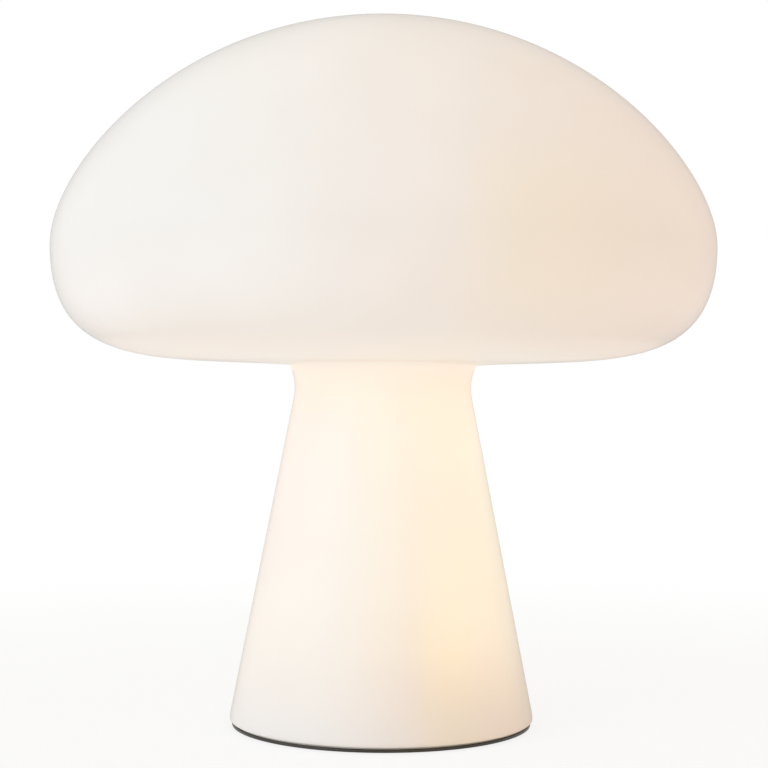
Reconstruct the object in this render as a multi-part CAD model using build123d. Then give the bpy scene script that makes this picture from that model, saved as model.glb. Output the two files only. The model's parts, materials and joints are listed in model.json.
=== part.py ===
from build123d import *
from math import acos, asin, atan2, cos, degrees, hypot, pi, radians, sin, sqrt, tan
import os

# Mushroom table lamp: a one-piece opal glass body standing on a dark pressed
# base that carries the lamp holder, the bulb and the wiring.
# Millimetres and degrees. +Z is up, the front looks along -Y, the cord inlet
# is at the back (+Y), and the origin is on the floor under the middle.

# ---------------------------------------------------------------- glass body
CAP_R = 110.0             # widest radius of the mushroom cap
STEM_H = 120.0            # floor to the crease under the cap
RIM_RISE = 38.6           # crease to the height where the cap is widest
DOME_RISE = 76.4          # widest height to the top of the dome
DOME_TOP_REACH = 68.2     # how far out the crown stays level
DOME_RIM_REACH = 25.0     # how far up the rim stays upright
UNDER_RIM_REACH = 42.2    # how far down the rim stays upright
UNDER_NECK_REACH = 42.1   # how far out the underside stays straight
UNDER_SLOPE = 3.6         # rise of the underside at the crease, degrees
NECK_DROP = 7.7           # crease down to the narrowest height of the neck
FLARE_R = 17.7            # radius of the neck's outward flare
CREASE_R = 1.0            # rounding in the crease, outside
CREASE_IN_R = 3.5         # rounding at the same place, inside
HEEL_R = 7.3              # radius that stands the cone upright at its foot
HEEL_RISE = 1.05          # cut edge up to the widest height of the foot
GLASS_WALL = 3.0
GLASS_EDGE = 0.8          # rounding of the cut edge
NOTCH_REACH = 13.0        # cord notch, each way from the foot's radius
NECK_CLEAR = 4.0          # room between the bulb and the inside of the neck

# ---------------------------------------------------------------- base plate
FLOOR_GAP = 0.3           # plate's rim above the floor
SHEET_T = 1.0             # pressed steel sheet
PAD_T = 1.2               # foam foot pad
PAD_PLAY = 0.5            # pad inside its recess
PLATE_STEP = 0.7          # plate's rim inside the widest of the glass
PLATE_EDGE = 0.3          # rounding of the plate's rim
STEP_SLOPE = 45.0         # pressed step in the plate, degrees
GASKET_T = 0.5
GASKET_W = 2.6
GASKET_INSET = 0.8        # gasket inside the plate's rim
GASKET_PLAY = 0.5         # gasket round the raised middle

# ------------------------------------------------------------ ballast and bridge
BALLAST_T = 6.0
BALLAST_HOLE_R = 11.0
BALLAST_MARGIN = 2.5      # ballast beyond the terminal block
TAPPED_DEPTH = 4.5        # holes tapped down from the ballast's top
STRIP_T = 1.5             # bridge strip
STRIP_W = 16.0
BRIDGE_CLEAR = 6.0        # ballast up to the bridge
LEG_CLEAR = 1.9           # nut's corner to the bridge's leg
BRIDGE_FOOT_L = 10.5

# ------------------------------------------------------------ nipple and its nut
NIPPLE_R = 5.0            # M10 x 1
NIPPLE_WALL = 1.0
NIPPLE_TAIL = 1.2         # below the nut
NIPPLE_IN = 7.0           # into the holder
NUT_AF = 14.0
NUT_T = 3.0
LOCK_T = 1.0
LOCK_R = 8.0
LOCK_TEETH = 8
LOCK_NOTCH_R = 1.0
THREAD_FIT = 0.05         # radial clearance of a screwed fit

# ------------------------------------------------------------------ lamp holder
HOLDER_R = 13.5
HOLDER_WALL = 2.0
HOLDER_CHAMFER = 2.5
BOSS_H = 9.0              # solid bottom of the holder's cap
CHAMBER_H = 12.0          # wiring chamber
FLANGE_T = 3.0            # insulator's flange
FLANGE_LIP = 1.3          # cap's wall round the flange
CORE_R = 9.5              # insulator above the flange
CORE_H = 4.3
CORE_FIT = 0.2
CORE_CHAMFER = 0.5
SOCKET_DEPTH = 21.7       # holder's mouth down to the contact
SLEEVE_FOOT_H = 6.3       # sleeve's thick foot round the core
MOUTH_T = 2.5             # sleeve's inward lip at the mouth
MOUTH_BEVEL = 1.2         # slope inside, under the lip
MOUTH_FIT = 0.3           # lip round the shell
SHELL_T = 0.5             # threaded shell
SHELL_FIT = 0.2           # shell round the bulb's thread
SHELL_DROP = 1.5          # mouth down to the shell's end
SHELL_FOOT_L = 0.9        # shell's turned-out foot
CONTACT_RISE = 2.0        # contact leaf above the insulator
LEAF_T = 0.4
LEAF_W = 5.0
LEAF_MARGIN = 1.0         # leaf's root inside the shell
LEAF_TAIL = 1.0           # leaf's free end beyond the bulb's tip
LEAF_DROP = 0.7
POST_R = 2.6              # terminal posts in the wiring chamber
POST_H = 5.0
POST_X = 7.5
LEAD_DEPTH = 3.0          # lead inside its post
LEAD_PLAY = 0.1
POST_SCREW_R = 1.0
POST_HOLE_R = 1.05
POST_HEAD_R = 1.6
POST_HEAD_H = 1.0

# ------------------------------------------------------------------------- bulb
BULB_R = 22.5             # golf-ball bulb
BULB_TAPER_L = 27.9       # collar up to the middle of the ball
BULB_GLASS_T = 0.8
THREAD_R = 6.95           # small Edison screw
BULB_CAP_T = 0.5
TIP_R = 2.4
TIP_H = 0.9
TIP_RIM = 0.35            # insulator round the tip
VITRITE_H = 3.6           # black insulator under the thread
VITRITE_IN = 1.0          # insulator inside the cap
THREAD_END = 22.2         # contact up to the end of the thread
COLLAR_R = 9.6
COLLAR_FLARE = 2.0
COLLAR_H = 3.3
BULB_FIT = 0.1            # glass neck inside the collar
STEM_DISC_T = 1.0
BULB_STEM_R = 2.6
BULB_STEM_L = 15.0
POST_ROD_R = 0.7
FILAMENTS = 4
FILAMENT_R = 0.9
FILAMENT_L = 26.0
FILAMENT_PCR = 6.0        # filaments stand on this radius
FILAMENT_START = 45.0
WIRE_R = 0.35

# ------------------------------------------------------- cord inlet and clamp
CORD_R = 3.0
CORD_PLAY = 0.1           # cord in the grommet
GROMMET_WALL = 2.0
GROMMET_RISE = 0.2        # angle's foot up to the grommet
GROMMET_FLANGE = 1.5
GROMMET_EDGE = 1.0        # rounding of the bush's outer end
GROOVE_DEPTH = 1.3
SLOT_GAP = 0.4            # glass round the grommet
ANGLE_T = 1.0             # inlet angle sheet
ANGLE_TOP = 1.6           # sheet above the grommet
ANGLE_CLEAR = 4.9         # angle to the inside of the glass at its foot
CLAMP_L = 6.0
CLAMP_GAP = 0.8           # ballast to clamp
CLAMP_BACK = 0.3          # clamp to the grommet's flange
CHANNEL_PLAY = 0.3
POST_W = 6.2              # clamp's posts
POST_OVER = 0.2           # posts above the cord
BAR_T = 2.2
BAR_CORNER = 1.5

# -------------------------------------------------------------- terminal block
BLOCK_GAP = 2.0           # holder to block
BLOCK_L = 15.0
BLOCK_W = 18.0
BLOCK_H = 12.0
BLOCK_CORNER = 1.0
TUNNEL_X = 4.8
TUNNEL_RISE = 5.0         # ballast up to the sleeves' axes
SLEEVE_R = 2.5
SLEEVE_BORE = 1.5
SLEEVE_INSET = 1.0        # brass inside the block's ends
GRUB_R = 1.4
GRUB_L = 3.4
GRUB_PLAY = 0.2           # hole in the plastic round a grub screw
GRUB_SLOT_DEPTH = 0.6
GRUB_SPACING = 7.5

# ----------------------------------------------------------------------- leads
LEAD_R = 0.95
LEAD_BEND = 4.0
LEAD_X = 1.6              # leads side by side in the nipple
LEAD_IN = 4.8             # lead inside the block
LEAD_STRAIGHT = 2.7       # straight out of the block
LEAD_CORNER = 2.85        # leads inside the ballast's hole
LEAD_GATHER_X = 3.1       # half their spacing there
LEAD_RISE = 3.4           # deck up to the leads
LEAD_FAN = 4.0            # height over which they spread to the posts

# ------------------------------------------------------------ clips and screws
CLIPS = 3
CLIP_START = 30.0
CLIP_W = 8.0
CLIP_T = 0.5
CLIP_RISE = 8.8           # deck up to the clip's nose
CLIP_TIP = 3.2            # nose up to the tip
CLIP_TIP_IN = 2.2
CLIP_BEND = 1.2
CLIP_LEAN = 3.6           # how far the leg leans out
CLIP_CLEAR = 0.15
CLIP_GAP = 0.8            # ballast to clip
RIVET_R = 1.2
RIVET_HEAD_R = 2.2
RIVET_HEAD_H = 0.7
M4_R = 2.0
M4_HEAD_R = 3.6
M4_HEAD_H = 2.2
LOW_HEAD_H = 0.8          # plate screws, under the plate
LOW_SLOT_DEPTH = 0.4
PLATE_SCREWS = 3
PLATE_SCREW_START = 30.0
PLATE_SCREW_PCR = 24.0
M4_L = 5.0                # every M4 screw under its head
M3_R = 1.5
M3_HEAD_R = 2.7
M3_HEAD_H = 1.8
M25_R = 1.25
M25_HEAD_R = 2.0
M25_HEAD_H = 1.6
HEAD_PLAY = 0.2           # block's recess round its screw head
SCREW_GAP = 0.4           # hole beyond the screw's end
BLIND_FLOOR = 1.0         # metal left under the block's screw
POCKET_PLAY = 0.5         # pad round the heads under the plate
SLOT_W = 0.9              # screwdriver slot
SLOT_DEPTH = 0.8
EARTH_Y = -18.0           # earth screw, in front of the holder
EARTH_WASHER_R = 4.4
EARTH_WASHER_T = 0.8

OVERCUT = 1.0             # cutters run past the faces they cut

# ------------------------------------------------------------- derived heights
RAISE = PAD_T - FLOOR_GAP
STEP_RUN = RAISE / tan(radians(STEP_SLOPE))
RIM_TOP = FLOOR_GAP + SHEET_T
GLASS_Z = RIM_TOP + GASKET_T
DECK_Z = PAD_T + SHEET_T
BALLAST_TOP = DECK_Z + BALLAST_T
TUNNEL_Z = BALLAST_TOP + TUNNEL_RISE
BRIDGE_Z = BALLAST_TOP + BRIDGE_CLEAR
HOLDER_Z = BRIDGE_Z + STRIP_T
LEDGE_Z = HOLDER_Z + BOSS_H + CHAMBER_H
POST_SCREW_Z = LEDGE_Z - POST_H / 2
SLEEVE_Z = LEDGE_Z + FLANGE_T
CORE_TOP = SLEEVE_Z + CORE_H
TIP_Z = CORE_TOP + CONTACT_RISE
MOUTH_Z = TIP_Z + SOCKET_DEPTH
SHELL_TOP = MOUTH_Z - SHELL_DROP
THREAD_TOP = TIP_Z + THREAD_END
BULB_NECK_Z = THREAD_TOP + COLLAR_FLARE + BULB_CAP_T
BULB_TAPER_Z = THREAD_TOP + COLLAR_FLARE + COLLAR_H + BULB_FIT
BULB_MID_Z = BULB_TAPER_Z + BULB_TAPER_L
RIM_Z = STEM_H + RIM_RISE
LAMP_H = RIM_Z + DOME_RISE

# ---------------------------------------------- derived radii, from the middle out
NECK_R = BULB_R + NECK_CLEAR + GLASS_WALL
NECK_Z = STEM_H - NECK_DROP
GROMMET_R = CORD_R + CORD_PLAY + GROMMET_WALL
GROOVE_R = GROMMET_R - GROOVE_DEPTH
CORD_Z = DECK_Z + ANGLE_T + GROMMET_RISE + GROMMET_R
BLOCK_Y = HOLDER_R + BLOCK_GAP
BALLAST_R = BLOCK_Y + BLOCK_L + BALLAST_MARGIN
CLAMP_Y = BALLAST_R + CLAMP_GAP
ANGLE_Y = CLAMP_Y + CLAMP_L + CLAMP_BACK + GROMMET_FLANGE
FOOT_R = ANGLE_Y + ANGLE_T + ANGLE_CLEAR + GLASS_WALL
HEEL_Z = GLASS_Z + HEEL_RISE
PLATE_R = FOOT_R - PLATE_STEP
GASKET_R = PLATE_R - GASKET_INSET
STEP_R = GASKET_R - GASKET_W - GASKET_PLAY
STEP_UNDER_R = STEP_R - SHEET_T * tan(radians(STEP_SLOPE / 2))
PAD_R = STEP_UNDER_R - STEP_RUN - PAD_PLAY
CHANNEL_X = CORD_R + CHANNEL_PLAY
CLAMP_X = CHANNEL_X + POST_W
CLAMP_SCREW_X = CHANNEL_X + POST_W / 2
CLAMP_TOP = CORD_Z + CORD_R + POST_OVER
LEG_X = NUT_AF / sqrt(3) + LEG_CLEAR
BRIDGE_SCREW_X = LEG_X + STRIP_T + BRIDGE_FOOT_L / 2
SHELL_R = THREAD_R + SHELL_FIT
SHELL_OUT_R = SHELL_R + SHELL_T
SHELL_FOOT_R = SHELL_OUT_R + SHELL_FOOT_L
FLANGE_R = HOLDER_R - FLANGE_LIP - CORE_FIT
HOLDER_BORE_R = HOLDER_R - HOLDER_WALL

FLARE_C = (NECK_R + FLARE_R, NECK_Z)
HEEL_C = (FOOT_R - HEEL_R, HEEL_Z)


def cone_angle():
    """Lean of the stem: the line that touches the flare and the heel."""
    across = FLARE_C[0] - HEEL_C[0]
    up = FLARE_C[1] - HEEL_C[1]
    return atan2(up, across) - acos((FLARE_R + HEEL_R) / hypot(across, up))


LEAN = cone_angle()


def wall_radius(z, inset=0.0):
    """Radius of the stem's cone at height z, measured inset inside the glass."""
    reach = HEEL_C[0] * cos(LEAN) + HEEL_C[1] * sin(LEAN) + HEEL_R - inset
    return (reach - z * sin(LEAN)) / cos(LEAN)


CLIP_NOSE_R = wall_radius(DECK_Z + CLIP_RISE, GLASS_WALL) - CLIP_CLEAR - CLIP_T / 2


# -------------------------------------------------------------------- helpers
def turned(*points):
    """Solid of revolution about Z from a closed outline of (radius, height)."""
    return revolve(Plane.XZ * make_face(Polyline(*points, close=True)), Axis.Z)


def ring(outer, inner, low, high):
    """Flat ring or tube about Z between two heights."""
    return turned((inner, low), (outer, low), (outer, high), (inner, high))


def rod(radius, low, high, at=(0.0, 0.0)):
    """Upright cylinder between two heights."""
    return Pos(at[0], at[1], (low + high) / 2) * Cylinder(radius, high - low)


def rod_x(radius, start, end, z):
    """Cylinder along X between two places, at y = 0."""
    return Pos((start + end) / 2, 0, z) * Rot(0, 90, 0) * Cylinder(radius, abs(end - start))


def rod_y(radius, near, far, x, z):
    """Cylinder along Y between two depths."""
    return Pos(x, (near + far) / 2, z) * Rot(90, 0, 0) * Cylinder(radius, far - near)


def block(x0, x1, y0, y1, z0, z1):
    """Box from its two corners."""
    middle = Pos((x0 + x1) / 2, (y0 + y1) / 2, (z0 + z1) / 2)
    return middle * Box(x1 - x0, y1 - y0, z1 - z0)


def on_circle(centre, radius, angle):
    """Point on a circle at an angle in radians."""
    return (centre[0] + radius * cos(angle), centre[1] + radius * sin(angle))


def around(radius, start, count):
    """Points equally spaced on a circle, from a start angle in degrees."""
    return [on_circle((0, 0), radius, radians(start + 360.0 * i / count)) for i in range(count)]


def slotted_screw(at, seat, head_r, head_h, shank_r, length):
    """Cheese-head screw pointing down, its head resting on the seat height."""
    top = seat + head_h
    body = rod(head_r, seat, top, at) + rod(shank_r, seat - length, seat, at)
    driver = Pos(at[0], at[1], top) * Box(3 * head_r, SLOT_W, 2 * SLOT_DEPTH)
    return body - driver


PLATE_SCREW_PLACES = around(PLATE_SCREW_PCR, PLATE_SCREW_START, PLATE_SCREWS)
BRIDGE_SCREWS = [(-BRIDGE_SCREW_X, 0.0), (BRIDGE_SCREW_X, 0.0)]
CLAMP_MID_Y = CLAMP_Y + CLAMP_L / 2
CLAMP_SCREWS = [(-CLAMP_SCREW_X, CLAMP_MID_Y), (CLAMP_SCREW_X, CLAMP_MID_Y)]
BLOCK_SCREW = (0.0, BLOCK_Y + BLOCK_L / 2)
EARTH = (0.0, EARTH_Y)
CLIP_FOOT = (BALLAST_R + CLIP_GAP, CLIP_NOSE_R - CLIP_LEAN)
RIVETS = around((CLIP_FOOT[0] + CLIP_FOOT[1]) / 2, CLIP_START, CLIPS)


# ----------------------------------------------------------------- glass body
def crease(inset):
    """Corner where the flare meets the cap's underside."""
    flare = FLARE_R + inset
    rise = asin((NECK_DROP + inset) / flare)
    return FLARE_C[0] - flare * cos(rise), STEM_H + inset, rise


def glass_outline(inset):
    """Edges of the outer (inset 0) or inner wall, from the top down."""
    radius = CAP_R - inset
    top = LAMP_H - inset
    corner_r, corner_z, rise = crease(inset)
    rim_up = DOME_RIM_REACH * (top - RIM_Z) / DOME_RISE
    rim_down = UNDER_RIM_REACH * (RIM_Z - corner_z) / RIM_RISE
    slope = radians(UNDER_SLOPE)
    under = (corner_r + UNDER_NECK_REACH * cos(slope), corner_z + UNDER_NECK_REACH * sin(slope))
    crown = DOME_TOP_REACH * radius / CAP_R
    dome = Bezier((0, top), (crown, top), (radius, RIM_Z + rim_up), (radius, RIM_Z))
    below = Bezier((radius, RIM_Z), (radius, RIM_Z - rim_down), under, (corner_r, corner_z))
    flare = FLARE_R + inset
    foot = HEEL_R - inset
    end = -asin(HEEL_RISE / foot)
    turns = (pi - rise, pi - (rise - LEAN) / 2, pi + LEAN)
    neck_points = [on_circle(FLARE_C, flare, turn) for turn in turns]
    heel_points = [on_circle(HEEL_C, foot, turn) for turn in (LEAN, (LEAN + end) / 2, end)]
    neck = ThreePointArc(*neck_points)
    cone = Line(neck_points[-1], heel_points[0])
    heel = ThreePointArc(*heel_points)
    return [dome, below, neck, cone, heel], (0, top), heel_points[-1]


def circle_edges(solid, radius, z):
    """The solid's circular edges of one radius at one height."""
    rims = [e for e in solid.edges() if e.geom_type == GeomType.CIRCLE]
    return [e for e in rims if abs(e.radius - radius) < 0.01 and abs(e.arc_center.Z - z) < 0.01]


def make_glass_body():
    """Cap and stem blown in one piece, open at the foot, notched for the cord."""
    outer, outer_top, outer_foot = glass_outline(0.0)
    inner, inner_top, inner_foot = glass_outline(GLASS_WALL)
    cut_edge = Line(outer_foot, inner_foot)
    axis = Line(inner_top, outer_top)
    glass = revolve(Plane.XZ * make_face(outer + [cut_edge] + inner + [axis]), Axis.Z)
    corner = crease(0.0)
    glass = fillet(circle_edges(glass, corner[0], corner[1]), CREASE_R)
    corner = crease(GLASS_WALL)
    glass = fillet(circle_edges(glass, corner[0], corner[1]), CREASE_IN_R)
    glass = fillet(circle_edges(glass, outer_foot[0], GLASS_Z), GLASS_EDGE)
    notch_r = GROMMET_R + SLOT_GAP
    near = FOOT_R - NOTCH_REACH
    far = FOOT_R + NOTCH_REACH
    notch = rod_y(notch_r, near, far, 0, CORD_Z)
    notch += block(-notch_r, notch_r, near, far, 0, CORD_Z)
    return glass - notch


# ----------------------------------------------------------- base and ballast
def make_base_plate():
    """Pressed dark disc: a flat rim under the glass and a raised middle."""
    plate = turned(
        (0, PAD_T),
        (STEP_UNDER_R - STEP_RUN, PAD_T),
        (STEP_UNDER_R, FLOOR_GAP),
        (PLATE_R, FLOOR_GAP),
        (PLATE_R, RIM_TOP),
        (STEP_R, RIM_TOP),
        (STEP_R - STEP_RUN, DECK_Z),
        (0, DECK_Z),
    )
    rims = circle_edges(plate, PLATE_R, FLOOR_GAP) + circle_edges(plate, PLATE_R, RIM_TOP)
    plate = fillet(rims, PLATE_EDGE)
    for at in PLATE_SCREW_PLACES:
        plate -= rod(M4_R + THREAD_FIT, 0, DECK_Z + OVERCUT, at)
    for at in RIVETS:
        plate -= rod(RIVET_R + THREAD_FIT, 0, DECK_Z + OVERCUT, at)
    for at in CLAMP_SCREWS:
        plate -= rod(M3_R + THREAD_FIT, 0, DECK_Z + OVERCUT, at)
    return plate


def make_foot_pad():
    """Foam pad stuck into the plate's recess, punched clear of the heads."""
    pad = rod(PAD_R, 0, PAD_T)
    for at in PLATE_SCREW_PLACES:
        pad -= rod(M4_HEAD_R + POCKET_PLAY, -OVERCUT, PAD_T + OVERCUT, at)
    for at in RIVETS:
        pad -= rod(RIVET_HEAD_R + POCKET_PLAY, -OVERCUT, PAD_T + OVERCUT, at)
    return pad


def make_glass_gasket():
    """Rubber ring between the plate's rim and the cut edge of the glass."""
    return ring(GASKET_R, GASKET_R - GASKET_W, RIM_TOP, GLASS_Z)


def make_ballast_ring():
    """Steel weight on the deck, tapped for everything that it carries."""
    weight = ring(BALLAST_R, BALLAST_HOLE_R, DECK_Z, BALLAST_TOP)
    for at in PLATE_SCREW_PLACES:
        weight -= rod(M4_R + THREAD_FIT, 0, PAD_T + M4_L + SCREW_GAP, at)
    for at in BRIDGE_SCREWS + [EARTH]:
        weight -= rod(M4_R + THREAD_FIT, BALLAST_TOP - TAPPED_DEPTH, BALLAST_TOP + OVERCUT, at)
    return weight - rod(M25_R + THREAD_FIT, DECK_Z + BLIND_FLOOR, BALLAST_TOP + OVERCUT, BLOCK_SCREW)


def make_plate_screws():
    """Low-head screws that hold the plate up against the ballast."""
    screws = []
    for at in PLATE_SCREW_PLACES:
        head = rod(M4_HEAD_R, PAD_T - LOW_HEAD_H, PAD_T, at)
        driver = Pos(at[0], at[1], PAD_T - LOW_HEAD_H) * Box(3 * M4_HEAD_R, SLOT_W, 2 * LOW_SLOT_DEPTH)
        screws.append(head + rod(M4_R, PAD_T, PAD_T + M4_L, at) - driver)
    return Compound(screws)


# ----------------------------------------------------------------- glass clips
def make_spring_clip(index):
    """Leaf spring whose nose steadies the glass from inside."""
    mid = CLIP_T / 2
    route = FilletPolyline(
        (CLIP_FOOT[0], DECK_Z + mid),
        (CLIP_FOOT[1], DECK_Z + mid),
        (CLIP_NOSE_R, DECK_Z + CLIP_RISE),
        (CLIP_NOSE_R - CLIP_TIP_IN, DECK_Z + CLIP_RISE + CLIP_TIP),
        radius=CLIP_BEND,
    )
    path = Plane.XZ * route
    start = Plane(path @ 0, x_dir=(0, 1, 0), z_dir=path % 0)
    leaf = sweep(start * Rectangle(CLIP_W, CLIP_T), path)
    foot_mid = (CLIP_FOOT[0] + CLIP_FOOT[1]) / 2
    leaf -= rod(RIVET_R + THREAD_FIT, 0, DECK_Z + CLIP_T + OVERCUT, (foot_mid, 0))
    return Rot(0, 0, CLIP_START + 360.0 * index / CLIPS) * leaf


def make_clip_rivets():
    """One rivet through each clip and the plate."""
    rivets = []
    for at in RIVETS:
        seat = DECK_Z + CLIP_T
        rivet = rod(RIVET_R, PAD_T - RIVET_HEAD_H, seat + RIVET_HEAD_H, at)
        rivet += rod(RIVET_HEAD_R, PAD_T - RIVET_HEAD_H, PAD_T, at)
        rivets.append(rivet + rod(RIVET_HEAD_R, seat, seat + RIVET_HEAD_H, at))
    return Compound(rivets)


# ------------------------------------------------------------------ cord inlet
def make_inlet_angle():
    """Bent sheet: its foot lies under the clamp, its upright holds the grommet."""
    foot = block(-CLAMP_X, CLAMP_X, CLAMP_Y, ANGLE_Y + ANGLE_T, DECK_Z, DECK_Z + ANGLE_T)
    top = CORD_Z + GROMMET_R + ANGLE_TOP
    angle = foot + block(-CLAMP_X, CLAMP_X, ANGLE_Y, ANGLE_Y + ANGLE_T, DECK_Z, top)
    angle -= rod_y(GROOVE_R, ANGLE_Y - OVERCUT, ANGLE_Y + ANGLE_T + OVERCUT, 0, CORD_Z)
    for at in CLAMP_SCREWS:
        angle -= rod(M3_R + THREAD_FIT, DECK_Z - OVERCUT, DECK_Z + ANGLE_T + OVERCUT, at)
    return angle


def make_cord_grommet():
    """Rubber bush for the cord, gripping the angle and filling the notch."""
    inside = rod_y(GROMMET_R, ANGLE_Y - GROMMET_FLANGE, ANGLE_Y, 0, CORD_Z)
    waist = rod_y(GROOVE_R, ANGLE_Y, ANGLE_Y + ANGLE_T, 0, CORD_Z)
    nose = rod_y(GROMMET_R, ANGLE_Y + ANGLE_T, FOOT_R, 0, CORD_Z)
    nose = fillet(nose.edges().sort_by(Axis.Y)[-1], GROMMET_EDGE)
    bore = rod_y(CORD_R + CORD_PLAY, CLAMP_Y, FOOT_R + OVERCUT, 0, CORD_Z)
    return inside + waist + nose - bore


def make_clamp_saddle():
    """Plastic saddle with a channel for the cord between two posts."""
    low = DECK_Z + ANGLE_T
    near = CLAMP_Y - OVERCUT
    far = CLAMP_Y + CLAMP_L + OVERCUT
    saddle = block(-CLAMP_X, CLAMP_X, CLAMP_Y, CLAMP_Y + CLAMP_L, low, CLAMP_TOP)
    saddle -= block(-CHANNEL_X, CHANNEL_X, near, far, CORD_Z, CLAMP_TOP + OVERCUT)
    saddle -= rod_y(CHANNEL_X, near, far, 0, CORD_Z + CHANNEL_PLAY)
    for at in CLAMP_SCREWS:
        saddle -= rod(M3_R + THREAD_FIT, low - OVERCUT, CLAMP_TOP + OVERCUT, at)
    return saddle


def make_clamp_bar():
    """Bar across the posts that holds the cord down."""
    bar = block(-CLAMP_X, CLAMP_X, CLAMP_Y, CLAMP_Y + CLAMP_L, CLAMP_TOP, CLAMP_TOP + BAR_T)
    bar = fillet(bar.edges().filter_by(Axis.Z), BAR_CORNER)
    for at in CLAMP_SCREWS:
        bar -= rod(M3_R + THREAD_FIT, CLAMP_TOP - OVERCUT, CLAMP_TOP + BAR_T + OVERCUT, at)
    return bar


def make_clamp_screws():
    """Two screws through bar, saddle and angle into the plate."""
    seat = CLAMP_TOP + BAR_T
    length = seat - PAD_T - SCREW_GAP
    return Compound([slotted_screw(at, seat, M3_HEAD_R, M3_HEAD_H, M3_R, length) for at in CLAMP_SCREWS])


# -------------------------------------------------------------- terminal block
def grub_places():
    """The four clamping screws' places on the terminal block."""
    middle = BLOCK_Y + BLOCK_L / 2
    rows = (middle - GRUB_SPACING / 2, middle + GRUB_SPACING / 2)
    return [(x, y) for x in (-TUNNEL_X, TUNNEL_X) for y in rows]


def make_terminal_block():
    """Two-pole plastic body with a tunnel for each brass sleeve."""
    top = BALLAST_TOP + BLOCK_H
    body = block(-BLOCK_W / 2, BLOCK_W / 2, BLOCK_Y, BLOCK_Y + BLOCK_L, BALLAST_TOP, top)
    body = fillet(body.edges().filter_by(Axis.Z), BLOCK_CORNER)
    for x in (-TUNNEL_X, TUNNEL_X):
        body -= rod_y(SLEEVE_R + THREAD_FIT, BLOCK_Y - OVERCUT, BLOCK_Y + BLOCK_L + OVERCUT, x, TUNNEL_Z)
    for at in grub_places():
        body -= rod(GRUB_R + GRUB_PLAY, TUNNEL_Z, top + OVERCUT, at)
    body -= rod(M25_R + THREAD_FIT, BALLAST_TOP - OVERCUT, top + OVERCUT, BLOCK_SCREW)
    return body - rod(M25_HEAD_R + HEAD_PLAY, top - M25_HEAD_H, top + OVERCUT, BLOCK_SCREW)


def make_terminal_sleeves():
    """Brass sleeves that join cord to lead, drilled for their screws."""
    sleeves = []
    for x in (-TUNNEL_X, TUNNEL_X):
        near = BLOCK_Y + SLEEVE_INSET
        far = BLOCK_Y + BLOCK_L - SLEEVE_INSET
        sleeve = rod_y(SLEEVE_R, near, far, x, TUNNEL_Z)
        sleeve -= rod_y(SLEEVE_BORE, near - OVERCUT, far + OVERCUT, x, TUNNEL_Z)
        for at in grub_places():
            sleeve -= rod(GRUB_R + THREAD_FIT, TUNNEL_Z, TUNNEL_Z + SLEEVE_R + OVERCUT, at)
        sleeves.append(sleeve)
    return Compound(sleeves)


def make_terminal_screws():
    """Four slotted grub screws that clamp the wires."""
    low = TUNNEL_Z + LEAD_R + THREAD_FIT
    screws = []
    for at in grub_places():
        driver = Pos(at[0], at[1], low + GRUB_L) * Box(3 * GRUB_R, SLOT_W, 2 * GRUB_SLOT_DEPTH)
        screws.append(rod(GRUB_R, low, low + GRUB_L, at) - driver)
    return Compound(screws)


def make_block_screw():
    """Screw between the poles that holds the block on the ballast."""
    seat = BALLAST_TOP + BLOCK_H - M25_HEAD_H
    length = seat - DECK_Z - BLIND_FLOOR - SCREW_GAP
    return slotted_screw(BLOCK_SCREW, seat, M25_HEAD_R, M25_HEAD_H, M25_R, length)


# ----------------------------------------------------------------- earth screw
def make_earth_washer():
    """Flat washer under the earth screw."""
    washer = ring(EARTH_WASHER_R, M4_R + THREAD_FIT, BALLAST_TOP, BALLAST_TOP + EARTH_WASHER_T)
    return Pos(EARTH[0], EARTH[1], 0) * washer


def make_earth_screw():
    """Screw that takes the cord's earth core."""
    return slotted_screw(EARTH, BALLAST_TOP + EARTH_WASHER_T, M4_HEAD_R, M4_HEAD_H, M4_R, M4_L)


# ------------------------------------------------------------ bridge and nipple
def make_holder_bridge():
    """Hat-shaped strip that lifts the lamp holder over its nut and the leads."""
    outer = LEG_X + STRIP_T
    foot = outer + BRIDGE_FOOT_L
    half = STRIP_W / 2
    bridge = block(-outer, outer, -half, half, BALLAST_TOP, HOLDER_Z)
    bridge -= block(-LEG_X, LEG_X, -half - OVERCUT, half + OVERCUT, BALLAST_TOP - OVERCUT, BRIDGE_Z)
    for side in (-1, 1):
        near = min(side * outer, side * foot)
        far = max(side * outer, side * foot)
        bridge += block(near, far, -half, half, BALLAST_TOP, BALLAST_TOP + STRIP_T)
    for at in BRIDGE_SCREWS:
        bridge -= rod(M4_R + THREAD_FIT, BALLAST_TOP - OVERCUT, BALLAST_TOP + STRIP_T + OVERCUT, at)
    return bridge - rod(NIPPLE_R + THREAD_FIT, BRIDGE_Z - OVERCUT, HOLDER_Z + OVERCUT)


def make_bridge_screws():
    """Two screws that hold the bridge's feet on the ballast."""
    seat = BALLAST_TOP + STRIP_T
    return Compound([slotted_screw(at, seat, M4_HEAD_R, M4_HEAD_H, M4_R, M4_L) for at in BRIDGE_SCREWS])


def make_nipple():
    """Threaded hollow tube that joins bridge and holder and carries the leads."""
    low = BRIDGE_Z - LOCK_T - NUT_T - NIPPLE_TAIL
    return ring(NIPPLE_R, NIPPLE_R - NIPPLE_WALL, low, HOLDER_Z + NIPPLE_IN)


def make_nipple_nut():
    """Thin hexagon nut under the bridge."""
    high = BRIDGE_Z - LOCK_T
    outline = Plane.XY.offset(high - NUT_T) * RegularPolygon(NUT_AF / 2, 6, major_radius=False)
    bore = rod(NIPPLE_R + THREAD_FIT, high - NUT_T - OVERCUT, high + OVERCUT)
    return extrude(outline, NUT_T) - bore


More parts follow.
